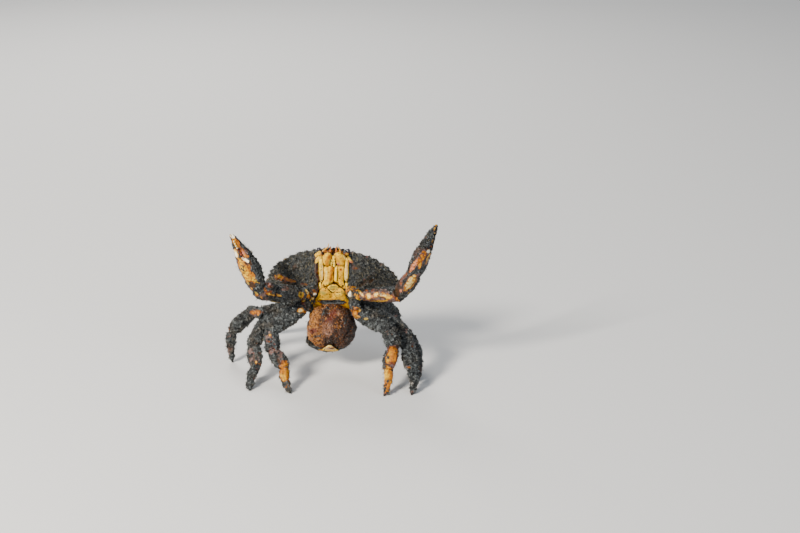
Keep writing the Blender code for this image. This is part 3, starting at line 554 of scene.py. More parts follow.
def mud_clods(points, lump):
    """How high the mud stands, 0 to 1. Clods and pebbles are pushed out of their lattice so that none is
    round, and sharp ridges run between them, where soft noise passes through zero."""
    points = points / lump
    pushed = points + 1.6 * np.stack([noise(points, 4.6, 24 + k) for k in range(3)], -1)
    pushed = pushed + 0.5 * np.stack([noise(points, 1.5, 27 + k) for k in range(3)], -1)
    ridges = 1 - 2.2 * np.abs(noise(pushed, 3.1, 30))
    heaps = 0.28 * pebbles(pushed, 4.6, 21) + 0.30 * pebbles(pushed, 2.1, 22)
    return heaps + 0.16 * pebbles(points, 1.0, 23) + 0.30 * ridges.clip(0, 1)


def skin(name, grid, material, slot, nodes=(), relief=0.0, mud=0.0, lean=(0, 0, 0), depth=1.0, lump=1.0,
         grit=1.0, **paint):
    """A closed piece from a grid in world mm. relief, mud and each kind of paint are one number or one for
    each point. lean is the direction that has more mud, depth the thickness of a layer in mm, and lump the
    size of its clods."""
    normals, hand = outward(grid)
    clean = grid + normals * np.broadcast_to(relief, grid.shape[:2])[..., None]
    paint["mud"] = mud + normals @ np.asarray(lean, float)
    paint = add_spots(name.removesuffix("_skin"), clean, normals, paint)
    clean = clean + normals * (paint.pop("rise", 0) * np.ones(grid.shape[:2]))[..., None]
    normals, hand = outward(clean)
    cover = paint["mud"] = mud_cover(clean, paint["mud"])
    clods = mud_clods(clean, lump)
    final = clean + normals * (depth * cover * (0.12 + 2.1 * clods))[..., None]
    values = {"clod": clods, **paint}
    values = {key: np.broadcast_to(value, grid.shape[:2]).astype(float) for key, value in values.items()}
    points, *flat = ends_closed(final, *values.values())
    quads, triangles = grid_faces(*grid.shape[:2])
    if hand < 0:
        quads, triangles = quads[:, ::-1], triangles[:, ::-1]
    surfaces[name] = (final, normals, cover * grit)
    return mesh_piece(name, points, quads, triangles, dict(zip(values, flat)), material, nodes)


# %% [markdown]
# Bristles stand along the edges of a crab and hold the mud. Each is a thin blade with three sides. It
# starts on a point of a skin drawn at random, leans along the limb, bends a little more towards its tip,
# and is tapered: radius times (1 - t) to the power 0.7. They are planted piece by piece here and made all
# together at the end.

# %% Planting bristles
LEG_BRISTLES, ARM_BRISTLES, FLAP_BRISTLES, JAW_BRISTLES = 62, 90, 420, 90  # on each joint or piece
EDGE_BRISTLES, MOUTH_BRISTLES, FUR_BRISTLES = 900, 700, 900  # on the shell
BRISTLE_RADIUS, BRISTLE_STRAY = 0.17, 0.22
planted = []
bristle_rng = np.random.default_rng(5)


def point_areas(grid):
    """The patch of surface that each grid point stands for, in square mm."""
    across = (np.roll(grid, -1, 1) - np.roll(grid, 1, 1)) / 2
    return np.linalg.norm(np.cross(np.gradient(grid, axis=0), across), axis=-1)


def plant(name, number, chance, way, lengths, lay=0.6):
    """Keeps roots, directions and lengths. lay says how far they lean along way from square to the skin."""
    grid, normals, _ = surfaces[name]
    chance = (point_areas(grid) * chance).ravel()
    picked = bristle_rng.choice(chance.size, number, p=chance / chance.sum())
    stray = bristle_rng.normal(0, BRISTLE_STRAY, (number, 3))
    aim = normals.reshape(-1, 3)[picked] * (1 - 0.5 * lay) + unit(way) * lay + stray
    planted.append((grid.reshape(-1, 3)[picked], unit(aim), bristle_rng.uniform(*lengths, number)))


# %% [markdown]
# The shell is one closed skin. Rings run out from the middle of the back to the toothed edge, round it, and
# in again underneath. The edge is a few curves: small teeth between the eyes, ten on each side of which the
# last is the largest, and a plain back edge. Grooves mark off the stomach, heart and gill regions, and fine
# granules cover all of it.

# %% The edge of the shell
FRONT_Y, POLE_Y, DOME_HEIGHT, MARGIN_DROP = 42.2, -5.0, 19.0, 2.5
SIDE_CURVE, SIDE_CURVE_POWER = (72.5, 49.0, -7.5), 1.9
FIRST_TOOTH, LAST_TOOTH, SIDE_TEETH = math.radians(18), math.radians(92), 10
TOOTH_HEIGHT, LAST_TOOTH_HEIGHT = 2.4, 4.6
FRONT_TEETH = [(0, 2.2), (2.6, -0.5), (5.2, 2.0), (7.8, -0.5), (10.6, 1.8), (12.6, -1.6), (16.2, -4.2),
               (19.8, -1.4)]
BACK_EDGE = [(69, -14), (61, -21.5), (50, -31), (39.5, -41), (30, -47.5), (20, -49.6), (10, -50.4),
             (0, -50)]
BELLY_Z, MOUTH_Y, MOUTH_SLOPE, UNDERSIDE_BULGE = -24.0, 1.0, 0.45, 0.8
CORE_WIDTH, CORE_LENGTH = 26.0, 38.5


def side_curve(turn):
    """The smooth side of the shell at an angle from its front, and the way out from it."""
    half_width, half_length, centre_y = SIDE_CURVE
    across, along = math.sin(turn), math.cos(turn)
    reach = (abs(across) ** SIDE_CURVE_POWER + abs(along) ** SIDE_CURVE_POWER) ** (-1 / SIDE_CURVE_POWER)
    out = unit((across / half_width, along / half_length))
    return np.array([half_width * reach * across, centre_y + half_length * reach * along]), out


def half_edge():
    """The left half of the edge from the front to the back, as smooth points and points with the teeth."""
    plain = [np.array([x, FRONT_Y - 0.0035 * x * x]) for x, _ in FRONT_TEETH]
    toothed = [point + (0, tooth) for point, (_, tooth) in zip(plain, FRONT_TEETH)]
    pitch = (LAST_TOOTH - FIRST_TOOTH) / (SIDE_TEETH - 1)
    for tooth in range(SIDE_TEETH):
        last = tooth == SIDE_TEETH - 1
        point, out = side_curve(FIRST_TOOTH + tooth * pitch)
        forward = np.array([-out[1], out[0]])
        height = LAST_TOOTH_HEIGHT if last else TOOTH_HEIGHT * (0.8 + 0.05 * tooth)
        plain.append(point)
        toothed.append(point + out * height + forward * 0.3 * TOOTH_HEIGHT)
        if not last:
            valley, out = side_curve(FIRST_TOOTH + (tooth + 0.42) * pitch)
            plain.append(valley)
            toothed.append(valley - out * 0.5)
    back = [np.array(point, float) for point in BACK_EDGE]
    return np.array(plain + back), np.array(toothed + back)


def whole_edge(columns):
    """The edge all the way round, as smooth and toothed points."""
    plain, toothed = half_edge()
    both = np.column_stack([plain, toothed])
    both = np.concatenate([both, both[-2:0:-1] * (-1, 1, -1, 1)])
    curve = closed_curve(both, columns, sharp=0.45)
    return curve[:, :2], curve[:, 2:]


# %% The shell's surface
LOBES = [  # swellings of the back: x, y, height and radius, mirrored where x isn't 0
    (12, 21, 1.6, 9), (0, 8, 1.4, 8), (0, -15, 2.2, 8), (34, -6, 2.6, 15), (50, 9, 1.2, 9),
    (32, 27, 1.4, 9), (0, -36, 1.0, 9), (20, 2, -1.2, 6), (11, -9, -1.6, 5),
]
GROOVES = [  # on the back, mirrored: the stomach's side, the heart's side, and two that run to the teeth
    [(4, 33), (8, 24), (15, 15), (17, 5), (12, -3), (8, -8)],
    [(8, -8), (11, -16), (9, -26), (12, -34), (20, -42)],
    [(15, 15), (25, 19), (36, 21), (47, 26)], [(17, 5), (28, 3), (40, 8), (52, 3), (62, -2)],
]
PLEURAL_LINE = [(16, 36), (30, 29), (44, 21), (58, 10), (66, -2), (62, -14), (50, -26)]  # under the side
PALE_RIDGE = [(34, 12), (44, 19), (52, 21)]  # on the left, where the mud has been rubbed off
MOUTH_HALF_WIDTH, MOUTH_HALF_LENGTH = 18.4, 23.5  # of the hollow that the mouth plates shut
MOUTH_MIDDLE_Y = 22.5
MOUTH_PIXEL = 334  # how far right the middle of the mouth is in the picture
SHELL_COLUMNS, BACK_ROWS, UNDER_ROWS, CORE_ROWS = 640, 80, 50, 8


def edge_height(x):
    return -MARGIN_DROP * (np.abs(x) / 75) ** 2


def mirrored_x(points):
    """Places folded over to the crab's left side."""
    return np.stack([np.abs(points[..., 0]), points[..., 1]], -1)


def back_height(flat, share):
    """Height of the back: a dome that falls to the edge, with lobes, grooves and a raised rim."""
    x, y = flat[..., 0], flat[..., 1]
    height = edge_height(x) + DOME_HEIGHT * (1 - share**2.5)
    fade = 1 - share**6
    for lobe_x, lobe_y, rise, radius in LOBES:
        for side in (1, -1) if lobe_x else (1,):
            height += rise * fade * hump(np.hypot(x - side * lobe_x, y - lobe_y), radius)
    folded = mirrored_x(flat)
    for path in GROOVES:
        height -= 1.1 * fade * hump(from_path(folded, path), 1.9)
    return height + 0.5 * hump(share - 0.955, 0.02) * ease((-y - 8) / 10)


def belly_depth(y):
    return BELLY_Z + MOUTH_SLOPE * np.maximum(y - MOUTH_Y, 0)


def shell_grid():
    """Rings of the shell in body mm: out over the back, round the edge, in below, and over the core."""
    plain, toothed = whole_edge(SHELL_COLUMNS)
    pole = np.array([0, POLE_Y])
    rings = []
    for share in 1 - np.linspace(1, 0, BACK_ROWS, endpoint=False)[:, None] ** 1.25:
        share = np.maximum(share, 0.012)
        teeth = ease((share - 0.86) / 0.13)
        flat = pole + (plain * (1 - teeth) + toothed * teeth - pole) * share
        rings.append(np.column_stack([flat, back_height(flat, share * np.ones(len(flat)))]))
    rings.append(np.column_stack([toothed * 1.004, edge_height(toothed[:, 0]) - 0.5]))
    away = unit(plain - pole)
    core = ((np.abs(away[:, 0]) / CORE_WIDTH) ** 3 + (np.abs(away[:, 1]) / CORE_LENGTH) ** 3) ** (-1 / 3)
    depth = belly_depth((pole + away * core[:, None])[:, 1])
    for share in np.linspace(0.006, 1, UNDER_ROWS):
        teeth = 1 - ease(share / 0.16)
        edge = plain * (1 - teeth) + toothed * teeth
        reach = np.linalg.norm(edge - pole, axis=1)
        flat = pole + unit(edge - pole) * (reach + share * (core - reach))[:, None]
        height = (edge_height(edge[:, 0]) - 1) * (1 - share) + depth * share**UNDERSIDE_BULGE
        rings.append(np.column_stack([flat, height]))
    for share in np.linspace(0.9, 0.05, CORE_ROWS):
        flat = pole + away * (core * share)[:, None]
        rings.append(np.column_stack([flat, belly_depth(flat[:, 1])]))
    return np.array(rings)


# The thin tan and olive streaks along the upper edge on her right are painted highlight, and the dark
# streaks in the grooves under the side ridges are painted shadow.
SPOTS["shell"] = [
    ("dark", 362.5, 284.0, 9.5, 1.9, 52), ("mauve", 366, 278.4, 10, 1.0, 57),
    ("dark", 371, 281, 3.5, 1.4, 50), ("umber", 283, 278.8, 11, 3.6, 104),
    ("orange", 281, 277.4, 7.5, 2.4, 102), ("gold", 279, 276.6, 4.5, 1.3, 106),
    ("orange", 291, 280.4, 6.5, 1.7, 106), ("umber", 305.5, 284.6, 6, 1.5, 102),
    ("dark", 289, 284.2, 10, 1.0, 104), ("brown", 355.5, 267.6, 2.6, 5.0, 0),
    ("umber", 354.5, 268.4, 1.1, 3.4, 0), ("olive", 286, 258, 5, 0.8, 60),
    ("olive", 300, 250.5, 5, 0.8, 68), ("mauve", 352.5, 262, 8, 1.8, 0), ("mauve", 316.2, 262, 9, 1.5, 0),
    ("brown", 351, 252, 5, 2.0, 40), ("olive", 316, 246.5, 3, 1.2, 60), ("brown", 316, 272, 7, 1.4, 0),
    ("tan", 277, 261.5, 7, 0.8, 57), ("tan", 292, 253.6, 5, 0.7, 62), ("tan", 356, 251.5, 3, 0.7, -60),
    ("mauve", 372, 262, 5, 0.8, -50),
]


def make_shell():
    grid = shell_grid()
    x, y = grid[..., 0], grid[..., 1]
    row = np.arange(len(grid))[:, None] * np.ones(SHELL_COLUMNS)
    under = ease((row - BACK_ROWS) / 3)
    folded = mirrored_x(grid[..., :2])
    mouth = np.hypot(np.abs(x / MOUTH_HALF_WIDTH) ** 2, ((y - MOUTH_MIDDLE_Y) / MOUTH_HALF_LENGTH) ** 2)
    hollow = under * ease((1.02 - mouth) / 0.12)
    grid[..., 2] += 4.2 * hollow
    line = from_path(folded, PLEURAL_LINE)
    relief = 0.10 * pebbles(grid, 1.5, 31) + 0.12 * pebbles(grid, 2.7, 32) + 0.25 * noise(grid, 9, 33)
    relief = relief + under * (1.1 * hump(line, 1.5) - 0.8 * hump(line - 2.8, 1.4))
    relief = relief + 0.8 * under * hump(mouth - 1.16, 0.08)
    ridge = under * from_path(grid[..., :2], PALE_RIDGE)
    relief = relief + under * (1.3 * hump(ridge, 1.3) - 1.2 * hump(ridge - 3.0, 1.5) * (y < 17))
    edge = hump(row - BACK_ROWS, 3)
    rubbed = 0.10 * (1 - under) * hump(np.hypot(x, y + 4), 34)
    return skin("shell_skin", to_world(grid), SHELL, "shell", ["carapace"], relief=relief,
                mud=0.42 + 0.14 * under - 1.2 * hollow - 0.10 * edge - rubbed, depth=0.8, lump=0.8,
                tone=0.93 - 0.25 * edge * (noise(grid, 5, 34) > 0.1) - 0.4 * hollow,
                stain=0.35 * under * (1 - hollow))


shell = make_shell()
shell_rows = np.arange(len(surfaces["shell_skin"][0]))[:, None] * np.ones(SHELL_COLUMNS)
seen_at = in_picture(surfaces["shell_skin"][0])
beside = seen_at[..., 0] - MOUTH_PIXEL
plant("shell_skin", EDGE_BRISTLES, hump(shell_rows - BACK_ROWS, 2.5), (0, 0, 0.2), (1.0, 3.2), 0.3)
by_mouth = hump(np.abs(beside) - 22, 6) * (shell_rows > BACK_ROWS) * (seen_at[..., 1] > 248)
plant("shell_skin", MOUTH_BRISTLES, by_mouth, (0, -0.3, -1), (2.0, 5.0), 1.2)
furry = (shell_rows > BACK_ROWS) * (seen_at[..., 1] < 292) * (np.abs(beside) > 20)
for side in (1, -1):
    plant("shell_skin", FUR_BRISTLES, furry * (beside * side > 0), (side, -0.5, -0.9), (1.6, 3.8), 1.3)
print("the shell has", len(shell.data.polygons), "faces")

# %% [markdown]
# The underside of the body is covered by flat plates with rounded edges: the breastplate between the legs,
# and over the mouth two broad jaw feet, each of a long and a short joint, with a slim one outside. One
# function makes them all. It shrinks the plate's outline towards its middle ring by ring, and the height of
# each ring follows a crown that is flat in the middle and turns down steeply at the edge.

# %% One function for every plate
PLATE_ROWS, PLATE_COLUMNS = 44, 150


def plate_grid(outline, low, high, rows=PLATE_ROWS, columns=PLATE_COLUMNS, round_off=7.0, sharp=0.1,
               grow=0.0):
    """Rings over a plate, down its side and back under it. Height falls as 1 - share ** round_off.
    grow moves the outline outwards, square to itself, in mm."""
    edge = closed_curve(outline, columns, sharp)
    run = np.roll(edge, -1, 0) - np.roll(edge, 1, 0)
    out = unit(np.stack([run[:, 1], -run[:, 0]], -1))
    edge = edge + grow * out * np.sign((out * (edge - edge.mean(0))).sum())
    middle = edge.mean(0)
    rings, shares = [], []
    for share in 1 - np.linspace(1, 0, rows) ** 1.7:
        share = max(share, 0.02)
        height = low + (high - low) * (0.25 + 0.75 * (1 - share**round_off) ** 0.5)
        rings.append(np.column_stack([middle + (edge - middle) * share, np.full(columns, height)]))
        shares.append(share)
    for share in (0.99, 0.93, 0.5, 0.02):
        rings.append(np.column_stack([middle + (edge - middle) * share, np.full(columns, low)]))
        shares.append(2.0)
    return np.array(rings), np.array(shares)[:, None]


def mouth_to_body(points, side=1):
    """Mouth places (outwards from the middle line, up the plates, out of the mouth) to body places."""
    slope = math.atan(MOUTH_SLOPE)
    up = np.array([0, math.cos(slope), math.sin(slope)])
    out = np.array([0, math.sin(slope), -math.cos(slope)])
    axes = np.array([(side, 0, 0), up, out])
    return np.array([0, MOUTH_Y, BELLY_Z]) + points @ axes


# %% [markdown]
# The jaw feet shut over the mouth like a pair of doors, a little to the crab's left. Outlines were measured
# on the photograph, where no plate is quite like its twin, so each side has its own. x is outwards from the
# middle line and y is up the mouth, in mm.

# %% Outlines of the jaw feet
JAWS = {
    "right": {
        "long": [(-0.4, 28.4), (2.2, 30.1), (6.0, 28.4), (8.9, 28.9), (9.8, 26.6), (9.4, 22), (9.1, 17),
                 (9.4, 12.6),
                 (11.3, 8.2), (11.9, 2.4), (10.6, 1.6), (7.6, 4.2), (4.0, 7.4), (0.0, 10.2), (-0.5, 20)],
        "short": [(11.6, 39.4), (8.9, 44.4), (5.6, 46.0), (2.2, 44.3), (1.2, 41.4), (1.8, 37.2),
                  (2.4, 33.6),
                  (3.4, 31.1), (5.6, 29.7), (8.4, 30.3), (10.0, 32.2), (10.8, 35.8)],
        "feeler": [(-0.6, 38.6), (0.2, 40.4), (1.0, 37.6), (1.6, 34.4), (2.4, 31.4), (1.2, 30.6),
                   (0.2, 33.6)],
        "slim": [(15.2, 30.4), (14.8, 37.1), (12.7, 38.3), (11.6, 35.6), (10.8, 30.6), (10.6, 24),
                 (10.5, 17.4),
                 (11.4, 11.8), (12.5, 9.8), (13.6, 11.6), (14.6, 17.1), (15.3, 23.2)],
        "base": [(14.4, 8.6), (12.8, 8.7), (12.4, 6.3), (12.8, 1.8), (13.8, 0.2), (14.8, 1.7), (14.7, 6.1)],
        "petal": [(12.6, 39.6), (14.4, 42.2), (17.4, 39), (20.4, 34), (20.2, 31.4), (17.6, 32.6),
                  (14.8, 36.2)],
        "upper_petal": [(13.4, 43.6), (14.6, 45.9), (18, 44.2), (20.8, 40.8), (19.6, 39.2), (16.4, 41)],
    },
    "left": {
        "long": [(2.2, 23.6), (3.2, 29.2), (4.8, 30.8), (7, 30.2), (9.2, 29.8), (12.3, 29.8), (12.7, 27),
                 (12.3, 18.6),
                 (12.9, 10.4), (15.0, 3.8), (13.2, 3.4), (8.4, 7.4), (4.6, 10.6), (2.3, 12.2), (1.9, 18)],
        "short": [(1.5, 44.0), (3.7, 46.2), (7.2, 46.1), (10.8, 43.8), (13.6, 40.8), (14.1, 38.1),
                  (13.3, 33.8),
                  (12.2, 31.3), (9.2, 30.9), (5.6, 31.6), (3.8, 34.8), (2.6, 40.0)],
        "feeler": [(0.2, 42.2), (1.6, 41.6), (2.4, 38.0), (2.6, 35.0), (3.0, 31.8), (1.8, 28.4),
                   (0.6, 30.2),
                   (0.9, 33.6), (0.3, 37)],
        "slim": [(14.8, 39.6), (16.1, 40.7), (17.3, 37.1), (17.5, 29.9), (17.7, 21.1), (17.2, 14.4),
                 (15.9, 11.6),
                 (14.4, 13.2), (13.7, 16.5), (13.6, 24.2), (14.0, 29.8), (14.4, 35.3)],
        "base": [(14.9, 10.2), (17.0, 10.0), (17.0, 6), (16.7, 2.8), (15.6, 1.9), (15.8, 5)],
        "petal": [(15.2, 38.4), (16.4, 41), (19.4, 39.6), (22.2, 36), (21.8, 33.6), (19.6, 34.2),
                  (17, 36.2)],
        "upper_petal": [(11, 45.8), (12.4, 48), (15, 47), (17.4, 44.6), (16.6, 42.8), (13.8, 44)],
    },
}


SPOTS.update({
    # The thin cream strips on the long plates and at the edge of her left short plate are painted highlight
    # laid on pale cuticle, and the yellow at the top left of her left short plate is painted light.
    "jaw_foot_long_right": [
        ("orange", 331.4, 273.5, 7.8, 1.8, 5), ("umber", 330.9, 278.0, 4.0, 1.0, 5),
        ("gold", 328, 271.5, 4.5, 1.6, 0), ("shade", 325.2, 287, 1.2, 3.2, 40),
        ("yellow", 327, 281, 3.5, 2, 0), ("cream", 326.4, 275, 6, 1.1, 0),
        ("olive", 329.6, 283.2, 1.2, 2.6, 20)],
    "jaw_foot_long_left": [
        ("amber", 341.4, 272.5, 8, 2.4, 0), ("umber", 341.0, 270.0, 1.5, 1.3, 0),
        ("shade", 342.5, 286.5, 1.1, 3.0, -40), ("yellow", 342.8, 279, 5, 1.2, 0),
        ("cream", 335.6, 274, 8, 0.9, 0), ("gold", 340.3, 277, 4, 0.9, 0),
        ("shade", 338.1, 274, 9, 0.5, 0)],
    "jaw_foot_short_right": [
        ("gold", 329, 258.0, 5.5, 3.2, 8), ("yellow", 325.4, 257, 4.5, 1.6, 20),
        ("olive", 330.3, 262.0, 3.6, 1.7, 10), ("orange", 329.2, 256.5, 2.8, 1.3, 10),
        ("yellow", 328.5, 253.8, 1.2, 2.6, 0)],
    "jaw_foot_short_left": [
        ("amber", 341, 257, 6, 4.4, -30), ("yellow", 339.4, 254.6, 3.4, 1.9, -35),
        ("gold", 342.6, 260.5, 3, 1.8, -20), ("cream", 344.8, 257.5, 4.5, 0.9, -28),
        ("pink", 338, 264.6, 0.9, 1.6, 80)],
    "petal_right": [("gold", 317.4, 260.6, 1.6, 1.2, 20)],
    "petal_left": [("pink", 350.4, 262, 2.2, 1.4, -40)],
    "upper_petal_left": [("brown", 345.5, 252, 4, 4, 0), ("mud", 344.5, 251, 2, 3, 0),
                         ("tan", 347.2, 254.2, 1.4, 2.0, 0)],
    "jaw_foot_slim_right": [("cream", 322.5, 275, 13, 2.2, 0)],
    "jaw_foot_slim_left": [("cream", 346.2, 274, 12, 2.0, 2), ("pink", 347.2, 268, 7, 0.8, 2)],
    "breastplate": [
        ("amber", 316.8, 302.5, 6, 4.2, 15), ("amber", 347.2, 302.5, 6, 3.8, -15),
        ("gold", 315.4, 304.5, 3.0, 1.8, 10), ("gold", 348.4, 304, 3.0, 1.8, -10),
        ("mud", 333, 302.2, 2.8, 13.4, 1), ("olive", 322.5, 293, 2, 4.5, 10),
        # The two dark strips below the crescent are painted shadow in the gap above the eggs.
        ("dark", 333, 304.6, 0.7, 9, 0), ("gold", 330, 297, 3, 10, 0), ("gold", 346, 298.4, 4, 1.6, -20),
        ("yellow", 338, 295, 2.5, 5, 0), ("dark", 333, 306.6, 1.9, 8.5, 0),
        ("olive", 343.5, 292.5, 1.8, 3, 0)],
    "shield": [("olive", 333.9, 287.6, 2.2, 4.2, 0), ("yellow", 336.2, 286.8, 1.0, 2.0, 0)],
})


def mouth_plate(name, side, outline, heights, relief=None, tone=0.15, stain=0.0, blush=0.0, nodes=(),
                **options):
    """One plate of the mouth. relief, tone, stain and blush are numbers, or functions of x and y."""
    grid, shares = plate_grid(outline, *heights, grow=0.4, **options)
    x, y = grid[..., 0], grid[..., 1]
    upper = shares < 1.5
    top = upper * (1 - shares**8).clip(0)
    world = to_world(mouth_to_body(grid, side))
    def field(value):
        return value(x, y) if callable(value) else value
    rough = 0.05 * pebbles(world, 1.0, 41) + 0.12 * noise(world, 3.6, 42)
    # The edge of each plate, where plates meet, and the hollows of its relief get painted shade in dark
    # brown.
    seam = ease((shares - 0.955) / 0.04) * upper
    grimy = noise(world, 3, 43)
    shaped = relief(x, y) if relief else 0
    hollow = 0.5 * ease((-shaped - 0.25) / 0.5) * upper
    # Painted shade in the seams and hollows, with a little random grime on top.
    shade_and_grime = 0.9 * seam + hollow + 0.25 * ease(grimy - 0.3)
    return skin(name, world, PLATE, "mouth", nodes, relief=top * shaped + rough, grit=0.3, depth=0.2,
                mud=-0.55 + 0.55 * seam * (grimy > 0.1), dots=0.8 * ease((19 - y) / 7),
                tone=field(tone) + 0.10 * seam + 0.10 * noise(world, 6, 44),
                stain=field(stain) + shade_and_grime, blush=field(blush))


# %% [markdown]
# Each long joint is a channelled bar: on the crab's right it has a bright rib along its inner side, on her
# left a narrow cream rib, then a groove, and a small pit near the top. The short joints are pads that lean
# outwards. Between them, pale feelers of the inner jaws show. The petals at the upper corners hold the base
# of each feeler.

# %% Jaw feet
SLIM_ROWS, SLIM_COLUMNS = 32, 120


def right_rib(x, y):
    ribs = 0.9 * hump(x - 1.0 - 0.17 * (26 - y), 1.8) + 0.35 * hump(x - 7.6, 1.6)
    return ribs - 0.8 * hump(y - 11 + 0.8 * x, 0.9) * (x > 2)


def right_rib_tone(x, y):
    ribbed = hump(x - 0.9 - 0.17 * (26 - y), 1.9) * ease((y - 9) / 5)
    return 0.09 + 0.37 * ribbed + 0.08 * hump(y - 24, 5) * (x > 4) + 0.14 * ease((9 - y) / 3)


def left_rib(x, y):
    ribs = 0.7 * hump(x - 3.8, 1.5) - 1.3 * hump(x - 6.0, 0.5) * ease((y - 11) / 3)
    pitted = ribs + 0.6 * hump(x - 9.4, 2.2) - 1.4 * hump(np.hypot(x - 9.3, y - 26.6), 1.2)
    return pitted - 0.8 * hump(y - 12.5 + 0.75 * x, 0.9) * (x > 3.5)


def left_rib_tone(x, y):
    pit = hump(np.hypot(x - 9.3, y - 26.6), 1.9)
    return 0.17 - 0.09 * hump(x - 3.8, 1.4) * (y > 13) + 0.10 * hump(x - 9.5, 2.4) * (y > 12) + 0.10 * pit


def short_pad(x, y):
    return 1.0 * hump(np.hypot(x - 7, (y - 38.5) * 0.6), 4.4) - 0.3


def make_jaw_feet(side, word):
    outlines = JAWS[word]
    right = word == "right"
    rib, rib_tone = (right_rib, right_rib_tone) if right else (left_rib, left_rib_tone)
    def short_tone(x, y):
        return (0.36 if right else 0.27) - 0.26 * ease((x - 8.6 - 0.25 * (y - 38) * right) / 1.6) * right
    # Darker brown along the inner side of her right short plate.
    def short_stain(x, y):
        return 0.32 * right * ease((4.5 - x) / 2)
    def short_blush(x, y):
        return 0.5 * ease((36.5 - y) / 2) * (x < 8)
    mouth_plate(f"jaw_foot_long_{word}", side, outlines["long"], (-1.5, 3.2), rib, rib_tone,
                nodes=[f"mouth_plate_{word}"])
    mouth_plate(f"jaw_foot_short_{word}", side, outlines["short"], (-1.5, 3.7), short_pad, short_tone,
                short_stain, round_off=4.5, blush=0.0 if right else short_blush)
    mouth_plate(f"jaw_feeler_{word}", side, outlines["feeler"], (-1.5, 4.0),
                lambda x, y: 0.4 * np.sin(y * 1.9), 0.0, 0.35 * right, rows=24, columns=70, round_off=3)
    mouth_plate(f"jaw_foot_slim_{word}", side, outlines["slim"], (-1.5, 2.6),
                lambda x, y: 0.5 * hump(x - 13.5, 1.2), 0.05, blush=0.0 if right else 0.22,
                nodes=[f"mouth_side_plate_{word}"], rows=SLIM_ROWS, columns=SLIM_COLUMNS, round_off=3.5)
    mouth_plate(f"jaw_foot_slim_base_{word}", side, outlines["base"], (-1.5, 2.3), tone=0.08, rows=20,
                columns=60, round_off=3.5)
    for petal, tone in (("petal", 0.07), ("upper_petal", 0.12)):
        mouth_plate(f"{petal}_{word}", side, outlines[petal], (-3.5, 1.0),
                    lambda x, y: 0.4 * np.sin((x + y) * 0.9), tone, 0.2,
                    lambda x, y: 0.45 * ease((x - 18) / 3), rows=24, columns=80, round_off=2.5)


for side, word in ((1, "left"), (-1, "right")):
    make_jaw_feet(side, word)
    plate_rows = np.arange(SLIM_ROWS + 4)[:, None] * np.ones(SLIM_COLUMNS)  # 4 more behind
    plant(f"jaw_foot_slim_{word}", JAW_BRISTLES, hump(plate_rows - 31, 2), side * AXES[0] * 0.6,
          (1.0, 2.4), 0.7)

# %% [markdown]
# The breastplate has two low hills in front with a notch between, where a small dished shield sits between
# the feet of the jaws. Behind the hills is a deep crescent, the front of the bed that the tail flap folds
# into. It is full of mud, with painted shade in it, and the rim of the plate gets painted shade too. The
# corners beside it are amber, and shallow grooves run out between the legs.

# %% Breastplate
SHIELD = [(-5.0, 4.2), (-3.0, 6.2), (-0.7, 7.5), (4.7, 7.7),
          (7.2, 4.4), (4.2, 1.4), (0.7, -1.2), (-3.0, 1.9)]
BREAST_FRONT = [(0.5, -0.9), (3.6, 2.3), (6.2, 5.3), (9.1, 6.1), (12, 4.9), (14.5, 1.6), (16.2, -4),
                (17.4, -9), (20.3, -13.5), (22, -24), (20, -34), (13, -40), (6, -41), (0, -41)]
BREAST_OUTLINE = BREAST_FRONT + [(-x, y) for x, y in BREAST_FRONT[-2:0:-1]]
HILL = (8.5, 1.0)
CRESCENT = [(-14, -11.6), (-7, -13.0), (0, -13.4), (7, -12.6), (13.5, -11.2)]
LEG_GROOVES = [(-16, 7.5), (-23.5, 7.5), (-31, 7.5)]  # y at the middle line, and where each begins


def make_shield():
    """The dished shield: a cream rim round a yellow hollow."""
    def dish(x, y):
        return -1.0 * ease((3.1 - np.hypot((x - 1.1) * 0.58, y - 3.6)) / 1.0)
    def tone(x, y):
        return 0.05 - 0.15 * dish(x, y)
    mouth_plate("shield_skin", 1, SHIELD, (-0.5, 3.6), dish, tone, lambda x, y: 0.15 * hump(x - 1, 2),
                rows=30, columns=110, round_off=5)


